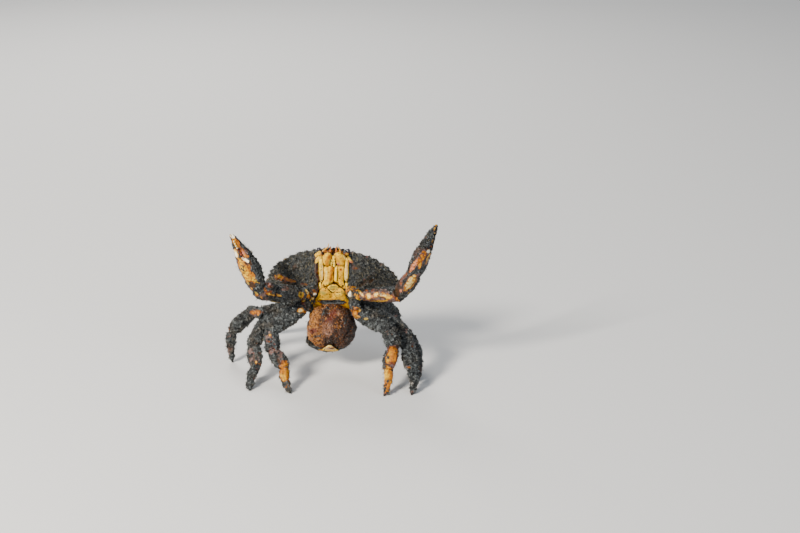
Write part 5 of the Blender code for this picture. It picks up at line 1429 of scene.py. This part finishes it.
def make_arm(name):
    side, lengths, turns, wide = ARMS[name]
    x, y, z = ARM_ROOT
    ways = [heading(side, *turn) for turn in turns]
    places = [to_world((side * x, y, z))]
    for way, length in zip(ways, lengths):
        places.append(places[-1] + way * length)
    wide = np.array(wide)
    middle = places[0] + ways[0] * lengths[0] * 0.5
    spans = [
        ("coxa", places[0], middle, ways[0], ways[0], ways[0], ARM_COXA, 50),
        ("ischium", middle, places[1], ways[0], ways[0], ways[1], ARM_ISCHIUM, 46),
        ("merus", places[1], places[2], ways[1], ways[0], ways[2], ARM_MERUS, 110),
        ("carpus", places[2], places[3], ways[2], ways[1], ways[3], ARM_CARPUS, 74),
    ]
    grids = []
    for word, start, end, way, before, after, sections, rows in spans:
        length = np.linalg.norm(end - start)
        grid = joint_grid(start, way, length, wide, sections, before, after, rows, ARM_COLUMNS)
        grids.append((word, *grid))
    for word, knots, rows in (("palm", HAND, 230), ("finger", FINGER, 130)):
        before = ways[2] if word == "palm" else ways[3]
        grid = hand_grid(places[3], ways[3], lengths[3], wide, knots, before, rows, ARM_COLUMNS)
        grids.append((word, *grid))
    for word, grid, shares, turn in grids:
        mud, lean, tone = ARM_FINISH[name][word]
        if word in ("palm", "finger"):
            inner = along_edge(turn, 0 if word == "palm" else math.pi, 0.5) * ease((shares - 0.56) / 0.05)
            tone = tone - 0.5 * inner * (pebbles(grid, 2.4, 73) > 0.4) - 0.6 * ease((shares - 0.95) / 0.04)
            mud = mud - 0.5 * ease((shares - 0.96) / 0.03) - 0.25 * inner
        else:
            tone = tone - 0.35 * hump(shares - 1, 0.05)
        nodes = [f"{name}_{word}"] if word not in ("coxa", "ischium") else []
        skin(f"{name}_{word}_skin", grid, CLAW, "claw" if word in ("palm", "finger") else "limb", nodes,
             relief=arm_relief(word, shares, turn, grid), mud=mud, lean=lean, depth=0.7, grit=0.8,
             tone=tone + 0 * shares)
        edges = 0.15 + along_edge(turn, math.pi, 0.6) + along_edge(turn, 0, 0.5)
        way = ways[{"coxa": 0, "ischium": 0, "merus": 1, "carpus": 2}.get(word, 3)]
        plant(f"{name}_{word}_skin", ARM_BRISTLES, edges * (shares < 0.85), way, (1.5, 5.0))


for name in ARMS:
    make_arm(name)

# %% [markdown]
# Eyes and feelers are tubes along a bent line. The rings stand square to the line, and a fixed direction
# keeps them from twisting. Each eye is a dark glassy cap on a pale stalk. The feelers carry fine rings.

# %% Eyes and feelers
EYE_STALK = [(0, 11.5, 33.5, -5, 1.6), (0.4, 13.4, 37, -3, 1.7), (0.75, 14.6, 38.9, -1.9, 2.1),
             (1, 15.3, 39.8, -1.4, 1.9)]
EYE_CAP = [(0, 14.9, 39.2, -1.7, 2.2), (0.3, 15.9, 40.8, -0.8, 2.75), (0.6, 16.7, 42.0, -0.2, 2.6),
           (0.85, 17.4, 43.0, 0.5, 1.8), (1, 17.7, 43.5, 0.75, 0.8)]
LONG_FEELERS = {
    "left": [(0, 8.4, 35.5, -4, 1.6), (0.2, 8.4, 39.6, -5, 1.5), (0.38, 8.2, 43, -4.4, 1.0),
             (0.55, 7.2, 46, -3.4, 0.75), (0.72, 5.6, 49, -2.8, 0.5), (1, 4.9, 54, -2.4, 0.25)],
    "right": [(0, 11.8, 37, -5.5, 1.5), (0.16, 13.4, 41.0, -6.6, 1.1), (0.34, 11.4, 44.6, -5.4, 0.9),
              (0.52, 8.6, 47.0, -4.2, 0.8), (0.68, 6.2, 48.8, -3.2, 0.65), (1, 5.0, 54, -2.4, 0.25)],
}
SMALL_FEELER = [(0, 3.2, 36, -2.4, 1.5), (0.3, 3.4, 40, -3.4, 1.5), (0.55, 3.4, 43.4, -3.2, 1.2),
                (0.78, 3.2, 46.0, -1.8, 0.8), (1, 3.6, 48.0, -0.6, 0.4)]


def tube_grid(path, side, rows, columns):
    """Rings square to a line through (share, x, y, z, radius), each found with two cross products."""
    shares = np.linspace(0, 1, rows)
    values = smooth(path, shares)
    centre, radius = values[:, :3] * (side, 1, 1), values[:, 3:]
    run = unit(np.gradient(centre, axis=0))
    wide = unit(np.cross(run, (0.3, 0.2, 1.0)))
    deep = np.cross(run, wide)
    turn = 2 * math.pi * np.arange(columns)[:, None] / columns
    ring = np.cos(turn) * wide[:, None] + np.sin(turn) * deep[:, None]
    return to_world(centre[:, None] + radius[:, None] * ring), shares[:, None] * np.ones(columns)


def eye_material():
    """Dark wet glass with a fine net of facets."""
    made = bpy.data.materials.new("eye")
    made.use_nodes = True
    tree = made.node_tree
    shader = tree.nodes["Principled BSDF"]
    place = node(tree, "ShaderNodeTexCoord").outputs["Object"]
    colour = ramp(tree, cloud(tree, place, 1.6, 3),
                  [(0.35, 0.004, 0.004, 0.006), (0.7, 0.035, 0.026, 0.040)])
    facets = node(tree, "ShaderNodeTexVoronoi",
                  {"Vector": place, "Scale": per_metre(0.22)}).outputs["Distance"]
    bumps = node(tree, "ShaderNodeBump", {"Height": facets, "Strength": 0.35, "Distance": 0.00003})
    tree.links.new(colour, shader.inputs["Base Color"])
    tree.links.new(bumps.outputs["Normal"], shader.inputs["Normal"])
    tree.links.new(stretch(tree, facets, 0.1, 0.6, 0.1, 0.2), shader.inputs["Roughness"])
    shader.inputs["Coat Weight"].default_value = 0.8
    return made


EYE = eye_material()
FEELER = hard_material("feeler", blotch=0.3, pit=0.7, bump=0.0001)


def make_feelers(side, word):
    grid, shares = tube_grid(EYE_STALK, side, 30, 40)
    skin(f"eye_stalk_{word}", grid, FEELER, "mouth", relief=0.12 * noise(grid, 1.5, 81), mud=-0.25,
         depth=0.2, tone=0.45 + 0.2 * shares, grit=0.1)
    grid, shares = tube_grid(EYE_CAP, side, 40, 56)
    skin(f"eye_cap_{word}", grid, EYE, "eye", [f"eye_{word}"], relief=0.03 * noise(grid, 1, 82), mud=-3,
         grit=0)
    for name, path, rings, tone in (("feeler", LONG_FEELERS[word], 46, 0.30),
                                    ("little_feeler", SMALL_FEELER, 30, 0.62)):
        grid, shares = tube_grid(path, side, 150, 26)
        ringed = 0.07 * np.sin(shares * rings * 2 * math.pi) * ease((shares - 0.35) / 0.1)
        collar = 0.12 * hump(shares - 0.33, 0.02)
        skin(f"{name}_{word}_skin", grid, FEELER, "mouth", [f"{name}_{word}"], relief=ringed + collar,
             mud=-0.4, depth=0.1, tone=tone - 0.2 * shares, blush=0.35, grit=0.05)


for side, word in ((1, "left"), (-1, "right")):
    make_feelers(side, word)

# %% [markdown]
# The tail flap is a strip of seven joints that starts at the back of the shell and folds forward under the
# body. Here it is pushed open by the eggs that it carries. Its line is given in polar form round the middle
# of the eggs: an angle, a reach, a half width and how much its edges curl in. The strip is made as rings
# again, over its outer face and back over its inner one, so that it is closed.

# %% Tail flap
EGG_CENTRE, EGG_RADII = np.array([0, -38, -43.5]), np.array([28, 25.5, 24])
FLAP_START, FLAP_SWING, FLAP_THICK, TELSON_X = 104, -0.032, 1.5, 0.6
FLAP = [(104, 36.5, 13, 1), (114, 35.2, 15, 2), (128, 32.6, 19, 4), (143, 30.2, 22.5, 6.5),
        (158, 28.6, 24.5, 8), (174, 27.8, 25.5, 8.5), (190, 27.4, 25.5, 8.5), (206, 27.3, 24, 7.5),
        (220, 27.3, 21.5, 6), (225, 27.4, 19.8, 4.9), (227.6, 27.4, 17, 4.5)]
FLAP_JOINTS = (120, 136, 152, 170, 189, 208)
TELSON = [(228.6, 27.4, 7.6, 0.8), (231, 27.4, 8.6, 0.9), (238, 27.6, 8.6, 0.8), (248, 27.9, 7.4, 0.6),
          (258, 28.2, 5.0, 0.3), (265, 28.5, 2.8, 0.15), (267.6, 28.5, 1.2, 0.1)]
FLAP_ROWS, FLAP_COLUMNS = 200, 180


def flap_grid(knots, rows, columns, thick, middle=None):
    """Rings along the flap. Going round a ring, the place across is a cosine and the side is the sine's."""
    degrees = np.linspace(knots[0][0], knots[-1][0], rows)
    reach, half, curl = np.moveaxis(smooth(knots, degrees), -1, 0)[..., None]
    turn = 2 * math.pi * np.arange(columns) / columns
    across = np.sign(np.cos(turn)) * np.abs(np.cos(turn)) ** 0.7
    face = np.sign(np.sin(turn)) * np.abs(np.sin(turn)) ** 0.5
    angle = np.radians(degrees)[:, None]
    distance = reach - curl * across**2 + face * thick / 2
    swing = FLAP_SWING * np.maximum(degrees - FLAP_START, 0)[:, None] if middle is None else middle
    places = [swing + across * half, np.cos(angle) * distance, np.sin(angle) * distance]
    down, along = np.ones(rows)[:, None], degrees[:, None] * np.ones(columns)
    return EGG_CENTRE + np.stack(places, -1), along, down * across, down * face


# The two long olive arcs are painted highlight on the flap's dark edges.
SPOTS["tail_flap"] = [("tan", 320.5, 350.2, 1.3, 3.4, -14), ("olive", 331, 341.4, 0.8, 8, -14),
                      ("olive", 322, 343.5, 0.8, 7, -20), ("umber", 316, 341, 1.2, 4, 0)]
SPOTS["tail_tip"] = [("cream", 330, 347.5, 3.4, 9, 0), ("orange", 330.8, 348.2, 2.0, 4.8, -4),
                     ("umber", 331.4, 348.2, 1.3, 3.2, -4), ("dark", 331.8, 348.6, 0.5, 2.4, -4),
                     ("shade", 324.4, 349.6, 2.2, 0.6, 30)]


def make_flap():
    body, degrees, across, face = flap_grid(FLAP, FLAP_ROWS, FLAP_COLUMNS, FLAP_THICK)
    world = to_world(body)
    joints = sum(hump(degrees - joint - 1.5 * across**2, 0.9) for joint in FLAP_JOINTS)
    steps = sum(hump(degrees - joint - 2.6 - 1.5 * across**2, 1.2) for joint in FLAP_JOINTS)
    keel = 0.5 * hump(across, 0.16) + 0.3 * hump(np.abs(across) - 0.55, 0.12)
    outside = (face > 0) * ease(face / 0.3)
    relief = outside * (0.6 * steps - 0.8 * joints + keel) + 0.14 * pebbles(world, 1.5, 91)
    relief = relief + 0.2 * noise(world, 5, 92)
    tone = 0.40 + 0.16 * joints + 0.18 * noise(world, 9, 93) + 0.4 * (1 - outside)
    mud = 0.22 + 0.3 * joints + 0.35 * (1 - outside) + 0.3 * ease((degrees - 205) / 15)
    skin("tail_flap_skin", world, PLATE, "belly", ["tail_flap"], relief=relief, mud=mud, depth=0.6,
         tone=tone, grit=0.6)
    body, degrees, across, face = flap_grid(TELSON, 90, 110, FLAP_THICK * 1.3, TELSON_X)
    world = to_world(body)
    middle = hump(np.hypot(across * 8, (degrees - 246) * 0.42), 3.6)
    relief = 0.5 * middle + 0.10 * pebbles(world, 1.2, 94) + 0.12 * noise(world, 4, 95)
    skin("tail_tip_skin", world, PLATE, "belly", ["tail_tip"], relief=relief, mud=-0.42, depth=0.2,
         tone=0.13 + 0.38 * middle, grit=0.2)


make_flap()
flap_edges = np.abs(np.cos(2 * math.pi * np.arange(FLAP_COLUMNS) / FLAP_COLUMNS)) ** 12
plant("tail_flap_skin", FLAP_BRISTLES, flap_edges * np.ones((FLAP_ROWS, 1)), (0, -0.4, 0.6), (1.5, 4.0))

# %% [markdown]
# The eggs are thousands of beads packed in clumps on the swimmerets. Real ones are about half a millimetre
# across and number a million; here they are a little larger, and only the outer layer is made. The beads
# sit on a lumpy core at the points of a sunflower spiral, which spaces them evenly without a grid. Each
# bead is a twenty-sided ball with its own size and tone, and spots make them rusty, crimson or rosy. Tone
# and spots also paint shade, darker on her left side, along the bottom, in crevices and on the core, and
# the rosy spots and fine pale specks are partly painted wet sheen.

# %% Eggs
BEADS, EGG_POWER = 8000, 2.5
GOLDEN = math.pi * (3 - 5**0.5)
BEAD_RADIUS = (0.55, 1.15)
BALL_RATIO = (1 + 5**0.5) / 2


def ball():
    """The twelve corners and twenty faces of an icosahedron of radius 1."""
    corners = np.array([(a, b * BALL_RATIO, 0) for a in (-1, 1) for b in (-1, 1)], float)
    corners = np.concatenate([np.roll(corners, shift, axis=1) for shift in range(3)])
    near = np.linalg.norm(corners[:, None] - corners[None], axis=-1) < 2.1  # neighbours are 2 apart
    faces = []
    for a, b, c in itertools.combinations(range(12), 3):
        if near[a, b] and near[b, c] and near[a, c]:
            outward_bound = np.cross(corners[b] - corners[a], corners[c] - corners[a]) @ corners[a] > 0
            faces.append((a, b, c) if outward_bound else (a, c, b))
    return unit(corners), np.array(faces)


BALL_CORNERS, BALL_FACES = ball()


def scatter_balls(name, centres, sizes, values, material, rng, squash=0.0):
    """Many small balls as one mesh. Each is turned by a random rotation and squashed a little."""
    spin = np.linalg.qr(rng.normal(size=(len(centres), 3, 3)))[0]
    spin *= np.sign(np.linalg.det(spin))[:, None, None]
    stretch_by = 1 + squash * rng.uniform(-1, 1, (len(centres), 1, 3))
    corners = (BALL_CORNERS * stretch_by) @ spin * np.asarray(sizes)[:, None, None] + centres[:, None]
    faces = (BALL_FACES + 12 * np.arange(len(centres))[:, None, None]).reshape(-1, 3)
    values = {key: np.repeat(value, 12) for key, value in values.items()}
    return mesh_piece(name, corners.reshape(-1, 3), np.zeros((0, 4), int), faces, values, material)


def egg_surface(directions):
    """Body places on the lumpy mass of eggs: an ellipsoid swollen by clumps, with furrows between."""
    boxy = (np.abs(directions) ** EGG_POWER).sum(-1, keepdims=True) ** (-1 / EGG_POWER)
    base = directions * (1 + 0.8 * (boxy - 1)) * EGG_RADII
    furrows = np.abs(noise(base * (1.0, 0.55, 0.55), 7.5, 101))
    lumps = 0.06 * noise(base, 15, 102) + 0.045 * noise(base, 5, 103) + 0.055 * ease(furrows * 3) - 0.05
    return EGG_CENTRE + base * (0.975 + lumps)[..., None]


EGG_STOPS = [(0, 0.36, 0.150, 0.030), (0.14, 0.20, 0.062, 0.006), (0.36, 0.078, 0.021, 0.003),
             (0.65, 0.028, 0.011, 0.005), (1, 0.006, 0.004, 0.004)]
# The bone tint here is the pinkish tan of the rosy spots, partly the eggs' colour and partly painted wet
# sheen.
EGG_TINTS = {"blush": (0.120, 0.016, 0.010, 1), "bone": (0.34, 0.20, 0.13, 1)}


def egg_material():
    """Wet orange-brown beads. tone shifts the colour from orange to almost black."""
    made = bpy.data.materials.new("eggs")
    made.use_nodes = True
    tree = made.node_tree
    shader = tree.nodes["Principled BSDF"]
    place = node(tree, "ShaderNodeTexCoord").outputs["Object"]
    spread = arithmetic(tree, "MULTIPLY_ADD", cloud(tree, place, 4, 3), 0.5, -0.25)
    tone = arithmetic(tree, "ADD", attribute(tree, "tone"), spread, clamp=True)
    colour = ramp(tree, tone, EGG_STOPS)
    for key, tint in EGG_TINTS.items():
        colour = mix_colour(tree, attribute(tree, key), colour, tint)
    # Fine pale specks: partly paler eggs and partly painted glints of wet light.
    yolk_and_glint = stretch(tree, cloud(tree, place, 0.4, 2), 0.5, 0.72, 0, 0.25)
    tree.links.new(mix_colour(tree, yolk_and_glint, colour, (0.30, 0.11, 0.02, 1)), shader.inputs["Base Color"])
    bumps = node(tree, "ShaderNodeBump",
                 {"Height": cloud(tree, place, 0.3, 2), "Strength": 0.4, "Distance": 0.00008})
    tree.links.new(bumps.outputs["Normal"], shader.inputs["Normal"])
    tree.links.new(stretch(tree, cloud(tree, place, 3, 2), 0.4, 0.6, 0.18, 0.45),
                   shader.inputs["Roughness"])
    shader.inputs["Specular IOR Level"].default_value = 0.3
    shader.inputs["Coat Weight"].default_value = 0.35
    shader.inputs["Coat Roughness"].default_value = 0.12
    return made


EGG = egg_material()


# The darkest spots are painted shade on her left side, along the bottom and in crevices. The rosy ones are
# pinkish tan, partly the eggs' own colour and partly painted wet sheen.
SPOTS["egg_beads"] = [
    ("egg_shade", 352, 328, 22, 9, 0), ("egg_shade", 330, 341, 6, 24, 80), ("rust", 314, 318, 12, 6, -5),
    ("rust", 316, 331, 4, 6, 0), ("crimson", 331.5, 316.5, 9, 4, 38), ("crimson", 326, 325, 4, 3, 30),
    ("rose", 327.5, 329.5, 6.5, 6, 45), ("crimson", 313, 331, 3, 4, 0), ("rust", 338, 325, 5, 3.4, 0),
    ("egg_shade", 326, 313, 3.4, 4, 40), ("rose", 338, 313, 3, 2, 0), ("egg_shade", 322, 322, 6, 1.0, 30)]
SPOTS["egg_core"] = [
    ("fleck", 323.4, 313.4, 4.4, 1.5, 18), ("fleck", 328.6, 309.2, 1.8, 3.0, 20),
    ("fleck", 345, 322, 4, 1.2, 20), ("fleck", 318, 336, 1.0, 5, -20), ("fleck", 309, 324, 4, 1.0, 0)]


def make_eggs():
    rng = np.random.default_rng(7)
    latitude = np.linspace(0.03, math.pi - 0.03, 90)[:, None]
    longitude = 2 * math.pi * np.arange(180) / 180
    directions = np.stack([np.sin(latitude) * np.cos(longitude), np.sin(latitude) * np.sin(longitude),
                           np.cos(latitude) * np.ones(180)], -1)
    core = to_world(egg_surface(directions) - 0.5 * directions)
    # The core stands for the eggs below the outer layer; its near-black brown is painted shade deep between
    # the beads.
    skin("egg_core", core, LIMB, "eggs", ["egg_mass"], relief=0.3 * pebbles(core, 1.4, 104), mud=-3,
         depth=0.4, tone=0.97, stain=0.6)
    final, normals, cover = surfaces["egg_core"]
    surfaces["egg_core"] = (final + 1.3 * normals, normals, cover)
    step = np.arange(BEADS) + 0.5
    height = 1 - 2 * step / BEADS
    ring = np.sqrt(1 - height**2)
    directions = np.stack([ring * np.cos(step * GOLDEN), ring * np.sin(step * GOLDEN), height], -1)
    body = egg_surface(directions) + rng.normal(0, 0.22, (BEADS, 3))
    angle = np.degrees(np.arctan2(body[:, 2] - EGG_CENTRE[2], body[:, 1] - EGG_CENTRE[1])) % 360
    inside = (body[:, 2] < -24.5) & ~((angle > 112) & (angle < 226) & (np.abs(body[:, 0]) < 24))
    body, directions = body[inside], directions[inside]
    world = to_world(body)
    # Painted shade: the eggs darken towards her left side, away from the key lamp.
    tone = 0.42 + 0.014 * body[:, 0] + 0.20 * noise(body, 6, 105)
    paint = {"tone": tone, "blush": np.zeros(len(body)), "bone": np.zeros(len(body))}
    paint = add_spots("egg_beads", world, to_world(body + directions) - world, paint)
    paint["tone"] += rng.normal(0, 0.26, len(body))
    paint = {key: np.clip(value * rng.uniform(0.5, 1.2, len(body)) if key != "tone" else value, 0, 1)
             for key, value in paint.items()}
    scatter_balls("egg_beads", world, rng.uniform(*BEAD_RADIUS, len(body)), paint, EGG, rng, 0.15)
    print("the crab carries", len(body), "eggs")


make_eggs()

# %% [markdown]
# Loose grit clings wherever there is mud. A place is drawn at random from every muddy point, with a chance
# that follows the area round it and how well mud covers it. Grains are the same balls, squashed and turned
# every way, some as fine as sand and a few as large as peas.

# %% Grit
GRAINS, GRAINS_IN_A_PIECE = 11000, 5500
GRAIN_RADIUS, GRAIN_SPREAD, GRAIN_LIMITS = 0.42, 0.42, (0.2, 1.3)


def grit_material():
    made = bpy.data.materials.new("grit")
    made.use_nodes = True
    tree = made.node_tree
    shader = tree.nodes["Principled BSDF"]
    mud = node(tree, "ShaderNodeGroup", node_tree=MUD)
    tree.links.new(attribute(tree, "tone"), mud.inputs["Light"])
    tree.links.new(mud.outputs["Colour"], shader.inputs["Base Color"])
    tree.links.new(mud.outputs["Gloss"], shader.inputs["Roughness"])
    bumps = node(tree, "ShaderNodeBump",
                 {"Height": mud.outputs["Height"], "Strength": 0.8, "Distance": 0.0003})
    tree.links.new(bumps.outputs["Normal"], shader.inputs["Normal"])
    return made


GRIT = grit_material()


def make_grit():
    rng = np.random.default_rng(11)
    places = np.concatenate([grid.reshape(-1, 3) for grid, _, _ in surfaces.values()])
    normals = np.concatenate([normal.reshape(-1, 3) for _, normal, _ in surfaces.values()])
    chance = [(point_areas(grid) * cover**2).ravel() for grid, _, cover in surfaces.values()]
    chance = np.concatenate(chance)
    chance *= 0.35 + ease(0.5 + 1.2 * noise(places, 9, 111))
    picked = rng.choice(len(places), GRAINS, p=chance / chance.sum())
    sizes = np.clip(GRAIN_RADIUS * np.exp(rng.normal(0, GRAIN_SPREAD, GRAINS)), *GRAIN_LIMITS)
    centres = places[picked] + normals[picked] * (0.35 * sizes)[:, None] + rng.normal(0, 0.2, (GRAINS, 3))
    centres[:, 2] = np.maximum(centres[:, 2], sizes)
    tone = rng.normal(0.0, 0.17, GRAINS)
    for start in range(0, GRAINS, GRAINS_IN_A_PIECE):
        part = slice(start, start + GRAINS_IN_A_PIECE)
        scatter_balls(f"grit_{start // GRAINS_IN_A_PIECE}", centres[part], sizes[part],
                      {"tone": tone[part]}, GRIT, rng, 0.35)


make_grit()
print("there are", GRAINS, "grains of grit on", len(surfaces), "pieces")

# %% [markdown]
# Last come all the planted bristles, as one mesh. Ring after ring of three points narrows to a tip.

# %% Bristles
BRISTLE_RINGS = np.array([0.0, 0.35, 0.7])


def bristle_material():
    made = bpy.data.materials.new("bristles")
    made.use_nodes = True
    tree = made.node_tree
    shader = tree.nodes["Principled BSDF"]
    along = cloud(tree, node(tree, "ShaderNodeTexCoord").outputs["Object"], 1.2, 2)
    tone = arithmetic(tree, "MULTIPLY_ADD", along, 0.4, attribute(tree, "tone"), clamp=True)
    straw = [(0, 0.014, 0.014, 0.013), (0.45, 0.040, 0.039, 0.033), (0.8, 0.13, 0.115, 0.080),
             (1, 0.36, 0.30, 0.17)]
    tree.links.new(ramp(tree, tone, straw), shader.inputs["Base Color"])
    shader.inputs["Roughness"].default_value = 0.45
    return made


def make_bristles():
    roots, aims, lengths = [np.concatenate(part) for part in zip(*planted)]
    count = len(roots)
    across = unit(np.cross(aims, (0.31, 0.22, 0.93)))
    deep = np.cross(aims, across)
    sideways, deeper = [bristle_rng.normal(0, 0.18, (count, 1)) for _ in range(2)]
    bend = across * sideways + deep * deeper - (0, 0, 0.08)
    def place(t):
        return roots + (lengths * t)[:, None] * aims + (lengths * t * t)[:, None] * bend
    rings = []
    for t in BRISTLE_RINGS:
        for turn in 2 * math.pi * np.arange(3) / 3:
            out = (across * math.cos(turn) + deep * math.sin(turn)) * BRISTLE_RADIUS * (1 - t) ** 0.7
            rings.append(place(t - 0.06 * (t == 0)) + out)
    points = np.stack([*rings, place(1.0)], 1)
    faces = [(0, 2, 1)]
    for row in (0, 3):
        for a, b in ((0, 1), (1, 2), (2, 0)):
            faces += [(row + a, row + b, row + 3 + b), (row + a, row + 3 + b, row + 3 + a)]
    faces += [(6, 7, 9), (7, 8, 9), (8, 6, 9)]
    faces = (np.array(faces) + 10 * np.arange(count)[:, None, None]).reshape(-1, 3)
    points[..., 2] = np.maximum(points[..., 2], 0.2)
    tone = np.repeat(bristle_rng.uniform(0, 0.75, count) + 0.4 * (bristle_rng.random(count) < 0.15), 10)
    mesh_piece("bristles", points.reshape(-1, 3), np.zeros((0, 4), int), faces, {"tone": tone},
               bristle_material())
    print("the crab has", count, "bristles")


make_bristles()

# %% [markdown]
# The camera has a long lens and stands two metres off, as one photographs an animal that should not be
# crowded. A soft lamp from the front left models the plates, a weaker one fills from the right, and a third
# behind draws a thin rim, over a plain pale floor.

# %% Floor, lamps and camera
FLOOR_SIZE = 16.0  # metres
SENSOR = 36  # mm


def plain_material(name, colour, roughness):
    made = bpy.data.materials.new(name)
    made.use_nodes = True
    shader = made.node_tree.nodes["Principled BSDF"]
    shader.inputs["Base Color"].default_value = (*colour, 1)
    shader.inputs["Roughness"].default_value = roughness
    return made


def make_floor():
    mesh = bpy.data.meshes.new("floor")
    half = FLOOR_SIZE / 2
    mesh.from_pydata([(-half, -half, 0), (half, -half, 0), (half, half, 0), (-half, half, 0)], [],
                     [(0, 1, 2, 3)])
    mesh.materials.append(plain_material("floor", (0.72, 0.71, 0.69), 0.8))
    floor = bpy.data.objects.new("floor", mesh)
    bpy.context.scene.collection.objects.link(floor)


def lamp(name, place, size, watts, colour):
    """A square area lamp at a place in metres, turned to the crab."""
    light = bpy.data.lights.new(name, "AREA")
    light.energy, light.size, light.color = watts, size, colour
    made = bpy.data.objects.new(name, light)
    aim = Matrix.Translation(BODY_CENTRE * MM).to_translation()
    made.location = place
    made.rotation_euler = (made.location - aim).to_track_quat("Z", "Y").to_euler()
    bpy.context.scene.collection.objects.link(made)


def make_camera():
    data = bpy.data.cameras.new("camera")
    data.lens, data.sensor_width = SENSOR * FOCAL_PIXELS / PICTURE[0], SENSOR
    camera = bpy.data.objects.new("camera", data)
    matrix = Matrix.Identity(4)
    for column, axis in enumerate((VIEW_RIGHT, VIEW_UP, -VIEW_FORWARD, VIEW_PLACE)):
        matrix.col[column] = (*axis, 1 if column == 3 else 0)
    camera.matrix_world = matrix
    bpy.context.scene.collection.objects.link(camera)
    bpy.context.scene.camera = camera


def make_world():
    world = bpy.data.worlds.new("studio")
    world.use_nodes = True
    sky = world.node_tree.nodes["Background"]
    sky.inputs["Color"].default_value = (0.80, 0.88, 1.0, 1)
    sky.inputs["Strength"].default_value = 0.40
    bpy.context.scene.world = world


make_floor()
lamp("key", (-1.55, -1.45, 1.4), 0.55, 135, (1.0, 0.95, 0.87))
lamp("fill", (1.8, -1.2, 0.9), 1.2, 15, (0.86, 0.92, 1.0))
lamp("rim", (-0.6, 1.8, 1.4), 0.8, 32, (1.0, 0.97, 0.92))
make_world()
make_camera()
